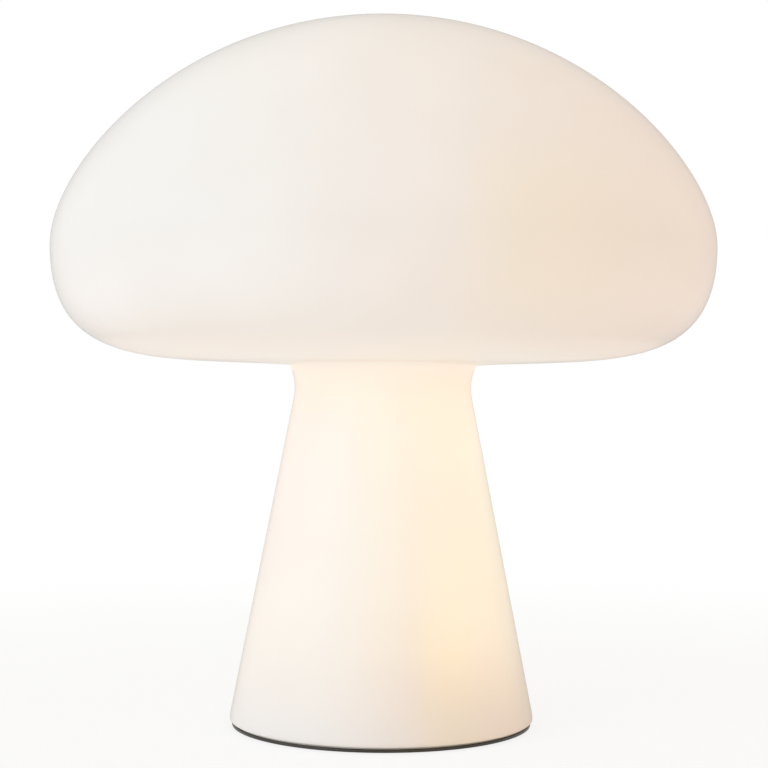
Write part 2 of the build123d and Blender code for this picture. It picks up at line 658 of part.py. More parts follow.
def make_lock_washer():
    """Toothed washer between nut and bridge."""
    washer = ring(LOCK_R, NIPPLE_R + THREAD_FIT, BRIDGE_Z - LOCK_T, BRIDGE_Z)
    for at in around(LOCK_R, 0, LOCK_TEETH):
        washer -= rod(LOCK_NOTCH_R, BRIDGE_Z - LOCK_T - OVERCUT, BRIDGE_Z + OVERCUT, at)
    return washer


# ----------------------------------------------------------------- lamp holder
def make_holder_cap():
    """Lower half of the lamp holder, screwed on the nipple."""
    return turned(
        (NIPPLE_R + THREAD_FIT, HOLDER_Z),
        (HOLDER_R - HOLDER_CHAMFER, HOLDER_Z),
        (HOLDER_R, HOLDER_Z + HOLDER_CHAMFER),
        (HOLDER_R, SLEEVE_Z),
        (HOLDER_R - FLANGE_LIP, SLEEVE_Z),
        (HOLDER_R - FLANGE_LIP, LEDGE_Z),
        (HOLDER_BORE_R, LEDGE_Z),
        (HOLDER_BORE_R, HOLDER_Z + BOSS_H),
        (NIPPLE_R + THREAD_FIT, HOLDER_Z + BOSS_H),
    )


def make_holder_insulator():
    """Ceramic core between the wiring chamber and the socket."""
    core = rod(FLANGE_R, LEDGE_Z, SLEEVE_Z) + rod(CORE_R, SLEEVE_Z, CORE_TOP)
    return chamfer(circle_edges(core, CORE_R, CORE_TOP), CORE_CHAMFER)


def make_holder_sleeve():
    """Upper half of the lamp holder, round the threaded shell."""
    mouth_r = SHELL_OUT_R + MOUTH_FIT
    lip = MOUTH_Z - MOUTH_T
    step = SLEEVE_Z + SLEEVE_FOOT_H
    return turned(
        (CORE_R + CORE_FIT, SLEEVE_Z),
        (HOLDER_R, SLEEVE_Z),
        (HOLDER_R, MOUTH_Z - HOLDER_CHAMFER),
        (HOLDER_R - HOLDER_CHAMFER, MOUTH_Z),
        (mouth_r, MOUTH_Z),
        (mouth_r, lip),
        (HOLDER_BORE_R - MOUTH_BEVEL, lip),
        (HOLDER_BORE_R, lip - MOUTH_BEVEL),
        (HOLDER_BORE_R, step),
        (CORE_R + CORE_FIT, step),
    )


def make_thread_shell():
    """Brass shell that the bulb screws into, footed on the insulator."""
    return turned(
        (SHELL_R, CORE_TOP),
        (SHELL_FOOT_R, CORE_TOP),
        (SHELL_FOOT_R, CORE_TOP + SHELL_T),
        (SHELL_OUT_R, CORE_TOP + SHELL_T),
        (SHELL_OUT_R, SHELL_TOP),
        (SHELL_R, SHELL_TOP),
    )


def make_centre_contact():
    """Bent leaf that presses on the bulb's tip."""
    mid = LEAF_T / 2
    nose = TIP_Z - mid - THREAD_FIT
    route = FilletPolyline(
        (LEAF_MARGIN - SHELL_R, CORE_TOP + mid),
        (-TIP_R, CORE_TOP + mid),
        (0, nose),
        (TIP_R, nose),
        (TIP_R + LEAF_TAIL, nose - LEAF_DROP),
        radius=LEAF_T,
    )
    path = Plane.YZ * route
    start = Plane(path @ 0, x_dir=(1, 0, 0), z_dir=path % 0)
    return sweep(start * Rectangle(LEAF_W, LEAF_T), path)


def make_holder_posts():
    """Brass posts under the insulator that take the leads."""
    low = LEDGE_Z - POST_H
    posts = []
    for side in (-1, 1):
        post = rod(POST_R, low, LEDGE_Z, (side * POST_X, 0))
        post -= rod(LEAD_R + LEAD_PLAY, low - OVERCUT, low + LEAD_DEPTH + LEAD_PLAY, (side * POST_X, 0))
        posts.append(post - rod_x(POST_HOLE_R, side * POST_X, side * (POST_X + 2 * POST_R), POST_SCREW_Z))
    return Compound(posts)


def make_holder_post_screws():
    """Small screws that clamp each lead in its post."""
    start = POST_X + LEAD_R + THREAD_FIT
    end = POST_X + POST_R
    screws = []
    for side in (-1, 1):
        shank = rod_x(POST_SCREW_R, side * start, side * end, POST_SCREW_Z)
        screws.append(shank + rod_x(POST_HEAD_R, side * end, side * (end + POST_HEAD_H), POST_SCREW_Z))
    return Compound(screws)


# ----------------------------------------------------------------------- leads
def make_lead(side):
    """Insulated lead from the terminal block, up the nipple, to its post."""
    low = DECK_Z + LEAD_RISE
    dip = BALLAST_HOLE_R - LEAD_R - LEAD_CORNER
    fan = HOLDER_Z + BOSS_H + LEAD_R
    points = [
        (side * TUNNEL_X, BLOCK_Y + LEAD_IN, TUNNEL_Z),
        (side * TUNNEL_X, BLOCK_Y - LEAD_STRAIGHT, TUNNEL_Z),
        (side * LEAD_GATHER_X, dip, low),
        (side * LEAD_X, 0, low),
        (side * LEAD_X, 0, fan),
        (side * POST_X, 0, fan + LEAD_FAN),
        (side * POST_X, 0, LEDGE_Z - POST_H + LEAD_DEPTH),
    ]
    path = FilletPolyline(*points, radius=LEAD_BEND)
    section = Plane(path @ 0, z_dir=path % 0) * Circle(LEAD_R)
    return sweep(section, path)


# ------------------------------------------------------------------------ bulb
def bulb_outline(inset):
    """Radius of the bulb's neck, and where its taper meets the ball."""
    ball = BULB_R - inset
    neck = COLLAR_R - BULB_CAP_T - BULB_FIT - inset
    drop = BULB_MID_Z - BULB_TAPER_Z
    turn = atan2(-drop, neck) + acos(ball / hypot(neck, drop))
    centre = (0, BULB_MID_Z)
    halfway = on_circle(centre, ball, (turn + pi / 2) / 2)
    return neck, on_circle(centre, ball, turn), halfway, (0, BULB_MID_Z + ball)


def make_bulb_envelope():
    """Clear ball with a tapered neck."""
    neck, touch, half, top = bulb_outline(0.0)
    neck_in, touch_in, half_in, top_in = bulb_outline(BULB_GLASS_T)
    outline = [
        Line((neck, BULB_NECK_Z), (neck, BULB_TAPER_Z)),
        Line((neck, BULB_TAPER_Z), touch),
        ThreePointArc(touch, half, top),
        Line(top, top_in),
        ThreePointArc(top_in, half_in, touch_in),
        Line(touch_in, (neck_in, BULB_TAPER_Z)),
        Line((neck_in, BULB_TAPER_Z), (neck_in, BULB_NECK_Z)),
        Line((neck_in, BULB_NECK_Z), (neck, BULB_NECK_Z)),
    ]
    return revolve(Plane.XZ * make_face(outline), Axis.Z)


def make_bulb_cap():
    """Screw cap with its flared collar round the glass neck."""
    low = TIP_Z + VITRITE_H
    wall = BULB_CAP_T
    inner = THREAD_R - wall
    flare = THREAD_TOP + COLLAR_FLARE
    return turned(
        (inner - wall, low),
        (THREAD_R, low),
        (THREAD_R, THREAD_TOP),
        (COLLAR_R, flare),
        (COLLAR_R, flare + COLLAR_H),
        (COLLAR_R - wall, flare + COLLAR_H),
        (COLLAR_R - wall, flare + wall),
        (inner, THREAD_TOP + wall),
        (inner, low + wall),
        (inner - wall, low + wall),
    )


def make_bulb_insulator():
    """Black glass plug between the thread and the tip."""
    low = TIP_Z + VITRITE_H
    inner = THREAD_R - 2 * BULB_CAP_T
    return turned(
        (0, TIP_Z + TIP_H),
        (TIP_R + TIP_RIM, TIP_Z + TIP_H),
        (THREAD_R - BULB_CAP_T, low),
        (inner - THREAD_FIT, low),
        (inner - THREAD_FIT, low + VITRITE_IN),
        (0, low + VITRITE_IN),
    )


def make_bulb_tip():
    """Domed contact at the bottom of the bulb."""
    tip = rod(TIP_R, TIP_Z, TIP_Z + TIP_H)
    return fillet(circle_edges(tip, TIP_R, TIP_Z), TIP_H / 2)


def make_bulb_stem():
    """Glass foot, stem and thin post that carry the filaments."""
    low = BULB_NECK_Z + BULB_GLASS_T
    disc_r = COLLAR_R - BULB_CAP_T - BULB_FIT - BULB_GLASS_T - BULB_FIT
    stem_top = low + BULB_STEM_L
    stem = rod(disc_r, low, low + STEM_DISC_T) + rod(BULB_STEM_R, low, stem_top)
    return stem + rod(POST_ROD_R, stem_top, stem_top + FILAMENT_L + 4 * WIRE_R)


def make_bulb_filaments():
    """Upright light filaments in a ring."""
    low = BULB_NECK_Z + BULB_GLASS_T + BULB_STEM_L + 2 * WIRE_R
    places = around(FILAMENT_PCR, FILAMENT_START, FILAMENTS)
    return Compound([rod(FILAMENT_R, low, low + FILAMENT_L, at) for at in places])


def make_bulb_wires():
    """Fine wires from the stem and the post to the filaments' ends."""
    low = BULB_NECK_Z + BULB_GLASS_T + BULB_STEM_L + WIRE_R
    spokes = []
    for z in (low, low + FILAMENT_L + 2 * WIRE_R):
        spider = ring(POST_ROD_R + 2 * WIRE_R, POST_ROD_R, z - WIRE_R, z + WIRE_R)
        arm = rod_x(WIRE_R, POST_ROD_R + WIRE_R, FILAMENT_PCR, z)
        for turn in range(FILAMENTS):
            spider += Rot(0, 0, FILAMENT_START + 360.0 * turn / FILAMENTS) * arm
        spokes.append(spider)
    return Compound(spokes)


# ----------------------------------------------------------------------- export
PARTS = {
    "glass_body": make_glass_body(),
    "base_plate": make_base_plate(),
    "foot_pad": make_foot_pad(),
    "glass_gasket": make_glass_gasket(),
    "ballast_ring": make_ballast_ring(),
    "plate_screws": make_plate_screws(),
    "clip_rivets": make_clip_rivets(),
    "inlet_angle": make_inlet_angle(),
    "cord_grommet": make_cord_grommet(),
    "clamp_saddle": make_clamp_saddle(),
    "clamp_bar": make_clamp_bar(),
    "clamp_screws": make_clamp_screws(),
    "terminal_block": make_terminal_block(),
    "terminal_sleeves": make_terminal_sleeves(),
    "terminal_screws": make_terminal_screws(),
    "block_screw": make_block_screw(),
    "earth_washer": make_earth_washer(),
    "earth_screw": make_earth_screw(),
    "holder_bridge": make_holder_bridge(),
    "bridge_screws": make_bridge_screws(),
    "nipple": make_nipple(),
    "nipple_nut": make_nipple_nut(),
    "lock_washer": make_lock_washer(),
    "holder_cap": make_holder_cap(),
    "holder_insulator": make_holder_insulator(),
    "holder_sleeve": make_holder_sleeve(),
    "thread_shell": make_thread_shell(),
    "centre_contact": make_centre_contact(),
    "holder_posts": make_holder_posts(),
    "holder_post_screws": make_holder_post_screws(),
    "lead_live": make_lead(1),
    "lead_neutral": make_lead(-1),
    "bulb_envelope": make_bulb_envelope(),
    "bulb_cap": make_bulb_cap(),
    "bulb_insulator": make_bulb_insulator(),
    "bulb_tip": make_bulb_tip(),
    "bulb_stem": make_bulb_stem(),
    "bulb_filaments": make_bulb_filaments(),
    "bulb_wires": make_bulb_wires(),
}
for index in range(CLIPS):
    PARTS[f"spring_clip_{index + 1}"] = make_spring_clip(index)

os.makedirs("parts", exist_ok=True)
for node, shape in PARTS.items():
    export_step(shape, f"parts/{node}.step")
print(f"stem leans {degrees(LEAN):.2f} degrees, foot radius {FOOT_R:.2f}, height {LAMP_H:.1f}")
print(f"neck radius {NECK_R:.2f}, bulb top {BULB_MID_Z + BULB_R:.1f}, holder mouth {MOUTH_Z:.1f}")
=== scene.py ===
"""Mushroom table lamp: its smooth surfaces, its finishes, the studio and the camera.

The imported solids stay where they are. The blown, spun and threaded pieces, whose
curves show, are worked out again here as fine surfaces in the same place.
"""

import json
import logging
import math
from dataclasses import dataclass
from enum import Enum
from typing import Any, Callable, Iterable, Optional, Sequence, Union

import bmesh
import bpy
import numpy as np
from mathutils import Matrix, Vector


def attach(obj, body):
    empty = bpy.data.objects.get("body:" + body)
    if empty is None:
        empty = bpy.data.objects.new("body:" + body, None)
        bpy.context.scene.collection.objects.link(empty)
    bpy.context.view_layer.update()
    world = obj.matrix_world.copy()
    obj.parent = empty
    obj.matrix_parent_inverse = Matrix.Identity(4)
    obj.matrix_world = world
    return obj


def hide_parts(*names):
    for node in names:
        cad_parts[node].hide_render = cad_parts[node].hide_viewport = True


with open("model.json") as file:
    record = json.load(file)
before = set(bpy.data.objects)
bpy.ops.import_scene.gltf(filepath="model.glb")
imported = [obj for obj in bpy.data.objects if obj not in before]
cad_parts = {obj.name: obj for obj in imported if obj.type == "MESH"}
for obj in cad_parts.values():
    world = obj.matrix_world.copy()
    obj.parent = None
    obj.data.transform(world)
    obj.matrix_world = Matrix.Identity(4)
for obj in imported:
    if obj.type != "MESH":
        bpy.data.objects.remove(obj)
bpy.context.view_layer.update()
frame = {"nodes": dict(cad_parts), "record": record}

LOG = logging.getLogger("mushroom_lamp")

MM = 0.001
SAME_POINT_MM = 1e-6     # points of a run nearer than this are one
MERGE_M = 2e-7           # mesh points nearer than this are merged
TANGENT_ROUNDS = 6       # rounds in which a rounding's reach settles
HALF_TURN = math.pi
FULL_TURN = 2 * math.pi
QUARTER_TURN = math.pi / 2

Point = Sequence[float]
Points = Sequence[Point]
Colour = tuple[float, float, float]
Span = tuple[float, float]
Socket = bpy.types.NodeSocket
Array = np.ndarray


# ---- profiles
def bezier(points: Points, count: int) -> Array:
    """Cubic curve: four points weighted by (1-t)^3, 3(1-t)^2 t, 3(1-t) t^2 and t^3.

    Args:
        points: The start, the two handles and the end, as (radius, height).
        count: Number of points.

    Returns:
        The (radius, height) rows.
    """
    t = np.linspace(0.0, 1.0, count)[:, None]
    a, b, c, d = (np.asarray(point, float) for point in points)
    return (1 - t) ** 3 * a + 3 * (1 - t) ** 2 * t * b + 3 * (1 - t) * t**2 * c + t**3 * d


def arc(centre: Point, radius: float, start: float, end: float, count: int) -> Array:
    """Circle piece: centre plus radius times (cos, sin) from the start to the end angle.

    Args:
        centre: The circle's middle, as (radius, height).
        radius: The circle's radius.
        start: First angle in radians.
        end: Last angle in radians.
        count: Number of points.

    Returns:
        The (radius, height) rows.
    """
    turn = np.linspace(start, end, count)
    return np.stack([centre[0] + radius * np.cos(turn), centre[1] + radius * np.sin(turn)], axis=1)


def straight(start: Point, end: Point, count: int) -> Array:
    """Straight run from start to end in even steps, as (radius, height) rows."""
    return np.linspace(np.asarray(start, float), np.asarray(end, float), count)


def joined(*runs: Points) -> Array:
    """Runs put end to end, where a point that repeats the one before is dropped."""
    path = np.concatenate([np.asarray(run, float) for run in runs])
    step = np.hypot(*np.diff(path, axis=0).T)
    return path[np.concatenate([[True], step > SAME_POINT_MM])]


def unit(vector: Array) -> Array:
    """The vector, made 1 long."""
    return vector / np.hypot(*vector)


def half_angle(back: Array, ahead: Array) -> float:
    """Half the angle between two unit vectors, in radians."""
    return math.acos(float(np.clip(back @ ahead, -1.0, 1.0))) / 2


def fillet(corner: Array, back: Array, ahead: Array, radius: float, count: int) -> Array:
    """Circle piece that touches both of the lines that leave a corner.

    It touches them at radius / tan(half the angle between them) from the corner, and its
    middle lies radius / sin(half the angle) away, between the two.

    Args:
        corner: Where the lines meet.
        back: Unit vector along the first line.
        ahead: Unit vector along the second line.
        radius: The circle's radius.
        count: Number of points.

    Returns:
        The (radius, height) rows.
    """
    half = half_angle(back, ahead)
    reach = radius / math.tan(half)
    middle = corner + unit(back + ahead) * radius / math.sin(half)
    first = corner + back * reach - middle
    last = corner + ahead * reach - middle
    start = math.atan2(first[1], first[0])
    swing = (math.atan2(last[1], last[0]) - start + HALF_TURN) % FULL_TURN - HALF_TURN
    return arc(middle, radius, start, start + swing, count)


def rounded_corner(before: Array, after: Array, radius: float, count: int) -> Array:
    """Two curved runs that meet at a corner, joined by a circle that touches both.

    The directions are taken where it touches, so its reach is worked out again until it
    settles. The points within reach are dropped.

    Args:
        before: Run that ends in the corner.
        after: Run that starts in the corner.
        radius: The circle's radius.
        count: Number of points on the circle.

    Returns:
        One run of (radius, height) rows.
    """
    corner = after[0]
    away_before, away_after = (np.hypot(*(run - corner).T) for run in (before, after))
    reach = radius
    for _ in range(TANGENT_ROUNDS):
        back = unit(before[away_before > reach][-1] - corner)
        ahead = unit(after[away_after > reach][0] - corner)
        reach = radius / math.tan(half_angle(back, ahead))
    bend = fillet(corner, back, ahead, radius, count)
    return joined(before[away_before > reach], bend, after[away_after > reach])


def softened(points: Points, radii: Sequence[float], count: int = 5) -> Array:
    """Closed outline with each corner rounded by its own radius.

    Args:
        points: Corners, as (radius, height).
        radii: A rounding for each corner, where 0 leaves it sharp.
        count: How many points each rounding has.

    Returns:
        The (radius, height) rows, without repeating the first.
    """
    corners = np.asarray(points, float)
    rows = []
    for i, (corner, radius) in enumerate(zip(corners, radii)):
        if radius > 0:
            back = unit(corners[i - 1] - corner)
            ahead = unit(corners[(i + 1) % len(corners)] - corner)
            rows.append(fillet(corner, back, ahead, radius, count))
        else:
            rows.append(corner[None])
    return np.concatenate(rows)


# ---- surfaces
def full_turn(count: int) -> Array:
    """Evenly spaced angles over one turn, without repeating the first."""
    return np.linspace(0.0, FULL_TURN, count, endpoint=False)


def turned(radii: Sequence[Array], heights: Sequence[Array], angles: Array) -> Array:
    """Grid of points (r cos a, r sin a, z) about the upright axis.

    Args:
        radii: Runs of rows, of one radius or of one for each angle.
        heights: Runs of rows, likewise.
        angles: The angles in radians.

    Returns:
        Rows by angles by three coordinates.
    """
    radius, height = (
        np.concatenate([np.broadcast_to(run, (len(run), len(angles))) for run in runs])
        for runs in (radii, heights))
    return np.stack([radius * np.cos(angles), radius * np.sin(angles), height], axis=2)


def spun(profile: Array, columns: int) -> Array:
    """Surface of revolution of (radius, height) rows, as a grid with so many columns."""
    return turned([profile[:, :1]], [profile[:, 1:]], full_turn(columns))


def faded(height: Array, low: float, high: float, rise: float, fall: float) -> Array:
    """1 between low and high, with ramps as long as rise and fall inside the two ends."""
    return np.clip((height - low) / rise, 0, 1) * np.clip((high - height) / fall, 0, 1)


def grid_piece(name: str, points: Array, ring_rows: bool,
               sharp_deg: float = 32.0) -> bpy.types.Object:
    """Puts a grid of millimetre points into a mesh of metres, closed along its columns.

    Points that fall together are merged, and the faces are turned outwards.

    Args:
        name: The new object's name.
        points: Rows by columns by three coordinates.
        ring_rows: Whether the last row joins the first.
        sharp_deg: Edges that turn by more than this are shaded sharp.

    Returns:
        The object, at the origin.
    """
    rows, columns = points.shape[:2]
    index = np.arange(rows * columns).reshape(rows, columns)
    lower = np.roll(index, -1, axis=0) if ring_rows else index[1:]
    upper = index if ring_rows else index[:-1]
    corners = [upper, np.roll(upper, -1, axis=1), np.roll(lower, -1, axis=1), lower]
    faces = np.stack(corners, axis=2).reshape(-1, 4)
    mesh = bpy.data.meshes.new(name)
    mesh.from_pydata((points.reshape(-1, 3) * MM).tolist(), [], faces.tolist())
    work = bmesh.new()
    work.from_mesh(mesh)
    bmesh.ops.remove_doubles(work, verts=work.verts, dist=MERGE_M)
    bmesh.ops.recalc_face_normals(work, faces=work.faces)
    work.to_mesh(mesh)
    work.free()
    mesh.polygons.foreach_set("use_smooth", np.ones(len(mesh.polygons), bool))
    mesh.set_sharp_from_angle(angle=math.radians(sharp_deg))
    mesh.update()
    piece = bpy.data.objects.new(name, mesh)
    bpy.context.scene.collection.objects.link(piece)
    return piece


# ---- shader writing
Value = Union[float, "Signal", Socket]


@dataclass(frozen=True)
class Window:
    """Part of a signal that counts: eased in over rise, and out by loss over fall."""

    rise: Span
    fall: Optional[Span] = None
    loss: float = 1.0


def math_node(operation: str, swapped: bool = False) -> Callable[["Signal", Value], "Signal"]:
    """Operator that adds a Math node over its two sides, or over them swapped."""

    def operate(one: "Signal", other: Value) -> "Signal":
        """Result of the node."""
        return one.result(operation, *((other, one) if swapped else (one, other)))

    return operate


class Signal:
    """A number that varies over a surface. Arithmetic on it adds Math nodes."""

    __add__ = __radd__ = math_node("ADD")
    __sub__ = math_node("SUBTRACT")
    __rsub__ = math_node("SUBTRACT", swapped=True)
    __mul__ = __rmul__ = math_node("MULTIPLY")
    __truediv__ = math_node("DIVIDE")
    __pow__ = math_node("POWER")

    def __init__(self, tree: "FinishTree", socket: Socket) -> None:
        """Wraps a socket of a node in the given tree."""
        self.tree = tree
        self.socket = socket

    def result(self, operation: str, *values: Value, clamp: bool = False) -> "Signal":
        """Result of a Math node over the values in their order."""
        inputs = dict(enumerate(values))
        node = self.tree.add("ShaderNodeMath", inputs, operation=operation, use_clamp=clamp)
        return Signal(self.tree, node.outputs[0])

    def between(self, start: float, end: float) -> "Signal":
        """Straight ramp from 0 at the start to 1 at the end, held beyond both."""
        return self.result("MULTIPLY", self - start, 1.0 / (end - start), clamp=True)

    def eased(self, start: float, end: float) -> "Signal":
        """Smooth ramp t*t*(3-2t) from 0 at the start to 1 at the end."""
        t = self.between(start, end)
        return t * t * (3.0 - 2.0 * t)

    def within(self, window: Window) -> "Signal":
        """1 inside the window and 0 before it, with eased sides."""
        inside = self.eased(*window.rise)
        if window.fall is None:
            return inside
        return inside * (1.0 - window.loss * self.eased(*window.fall))


class FinishTree:
    """Node tree of one finish, the studio floor or the world."""

    def __init__(self, holder: Union[bpy.types.Material, bpy.types.World]) -> None:
        """Clears the holder's nodes and keeps its tree."""
        holder.use_nodes = True
        self.nodes = holder.node_tree.nodes
        self.links = holder.node_tree.links
        self.nodes.clear()

    def add(self, kind: str, inputs: Optional[dict[Union[str, int], Any]] = None,
            **settings: Any) -> bpy.types.Node:
        """Makes a node, sets it up, and fills or links its sockets.

        Args:
            kind: The node's type name.
            inputs: Sockets by name or number, each with a value, a Signal or a socket.
            settings: Its properties, set before the sockets.

        Returns:
            The node.
        """
        node = self.nodes.new(kind)
        for key, value in settings.items():
            setattr(node, key, value)
        for key, value in (inputs or {}).items():
            socket = node.inputs[key]
            if isinstance(value, Signal):
                self.links.new(value.socket, socket)
            elif isinstance(value, Socket):
                self.links.new(value, socket)
            else:
                socket.default_value = value
        return node

    def place(self) -> Socket:
        """Object coordinates, in metres."""
        return self.add("ShaderNodeTexCoord").outputs["Object"]

    def axes(self) -> tuple[Signal, Signal, Signal]:
        """Object coordinates as three signals."""
        split = self.add("ShaderNodeSeparateXYZ", {0: self.place()})
        return tuple(Signal(self, socket) for socket in split.outputs)

    def noise(self, scale: float, detail: float = 3.0, stretch: Colour = (1.0, 1.0, 1.0)) -> Signal:
        """Soft noise from 0 to 1 about 0.5.

        Args:
            scale: Blotches to a metre.
            detail: Finer layers that are added.
            stretch: Scale along each axis.

        Returns:
            The noise.
        """
        mapping = self.add("ShaderNodeMapping", {"Vector": self.place(), "Scale": stretch})
        inputs = {"Vector": mapping.outputs[0], "Scale": scale, "Detail": detail}
        return Signal(self, self.add("ShaderNodeTexNoise", inputs).outputs[0])

    def ramp(self, factor: Signal, stops: Sequence[tuple[float, Colour]]) -> Socket:
        """Colour that runs through the (place, colour) stops as the factor goes up."""
        node = self.add("ShaderNodeValToRGB", {0: factor})
        elements = node.color_ramp.elements
        while len(elements) < len(stops):
            elements.new(0.5)
        for element, (place, colour) in zip(elements, stops):
            element.position = place
            element.color = (*colour, 1.0)
        return node.outputs[0]

    def blend(self, factor: Signal, first: Union[Colour, Socket], second: Colour) -> Socket:
        """Colour that goes from first to second with the factor."""
        start = (*first, 1.0) if isinstance(first, tuple) else first
        inputs = {"Factor": factor, 6: start, 7: (*second, 1.0)}
        return self.add("ShaderNodeMix", inputs, data_type="RGBA").outputs[2]

    def tinted(self, colour: Socket, factor: Signal, extra: Colour) -> Socket:
        """Colour with a second one added to it by the factor."""
        inputs = {"Vector": extra, "Scale": factor}
        share = self.add("ShaderNodeVectorMath", inputs, operation="SCALE").outputs[0]
        both = self.add("ShaderNodeVectorMath", {0: colour, 1: share}, operation="ADD")
        return both.outputs[0]

    def facing(self, direction: Colour) -> Signal:
        """1 where the surface faces a direction, falling to 0 where it is edge on to it."""
        normal = self.add("ShaderNodeTexCoord").outputs["Normal"]
        inputs = {0: normal, 1: direction}
        node = self.add("ShaderNodeVectorMath", inputs, operation="DOT_PRODUCT")
        return Signal(self, node.outputs["Value"]).between(0.0, 1.0)

    def relief(self, height: Signal, distance: float, strength: float = 1.0,
               under: Optional[Socket] = None) -> Socket:
        """Normal of a bumped surface.

        Args:
            height: Relief from 0 to 1.
            distance: What a height of 1 stands for, in metres.
            strength: Share of the relief that shows.
            under: Normal of a coarser relief that this one lies on.

        Returns:
            The normal's socket.
        """
        inputs = {"Height": height, "Distance": distance, "Strength": strength}
        if under is not None:
            inputs["Normal"] = under
        return self.add("ShaderNodeBump", inputs).outputs[0]

    def casing(self, share: float, falloff: Signal, colour: Colour) -> tuple[Signal, Socket]:
        """Clear outer layer of cased glass: a gloss towards the rim, tinted grey so that it paints
        a darker edge.

        Args:
            share: How much of the layer shows where the surface turns edge on.
            falloff: Power by which it fades towards the middle.
            colour: Tint of its gloss, the grey of the painted darker edge.

        Returns:
            The layer's share and its shader.
        """
        weight = self.add("ShaderNodeLayerWeight", {"Blend": 0.5})
        gloss = self.add("ShaderNodeBsdfGlossy", {"Color": (*colour, 1.0), "Roughness": 0.12})
        return share * Signal(self, weight.outputs["Facing"]) ** falloff, gloss.outputs[0]

    def mixed(self, factor: Signal, first: Socket, second: Socket) -> Socket:
        """Shader that goes from first to second with the factor."""
        return self.add("ShaderNodeMixShader", {0: factor, 1: first, 2: second}).outputs[0]

    def surface(self, inputs: dict[str, Any], over: Optional[tuple[Signal, Socket]] = None) -> None:
        """Ends the tree in a Principled surface.

        Args:
            inputs: The surface's sockets by name.
            over: A layer's share and shader, where one lies over it.
        """
        shader = self.add("ShaderNodeBsdfPrincipled", inputs).outputs[0]
        if over is not None:
            shader = self.mixed(over[0], shader, over[1])
        self.add("ShaderNodeOutputMaterial", {"Surface": shader})


# ---- finishes
MOTTLE: Span = (0.35, 0.7)     # noise over which one colour gives way to another


@dataclass(frozen=True)
class Finish:
    """A surface finish and its name. Each kind writes its own nodes."""

    name: str

    def build(self) -> bpy.types.Material:
        """Makes the material and returns it."""
        material = bpy.data.materials.new(self.name)
        self.write(FinishTree(material))
        return material

    def write(self, tree: FinishTree) -> None:
        """Writes the finish's nodes into an empty tree."""
        raise NotImplementedError


@dataclass(frozen=True)
class Patch:
    """Painted light, or painted shade where its colour is negative, added over one part of the
    glass.

    Its turn is -1 at the left and 1 at the right, and its height a share of the lamp's.
    """

    colour: Colour
    turn: Window
    height: Window
    front_only: bool = False


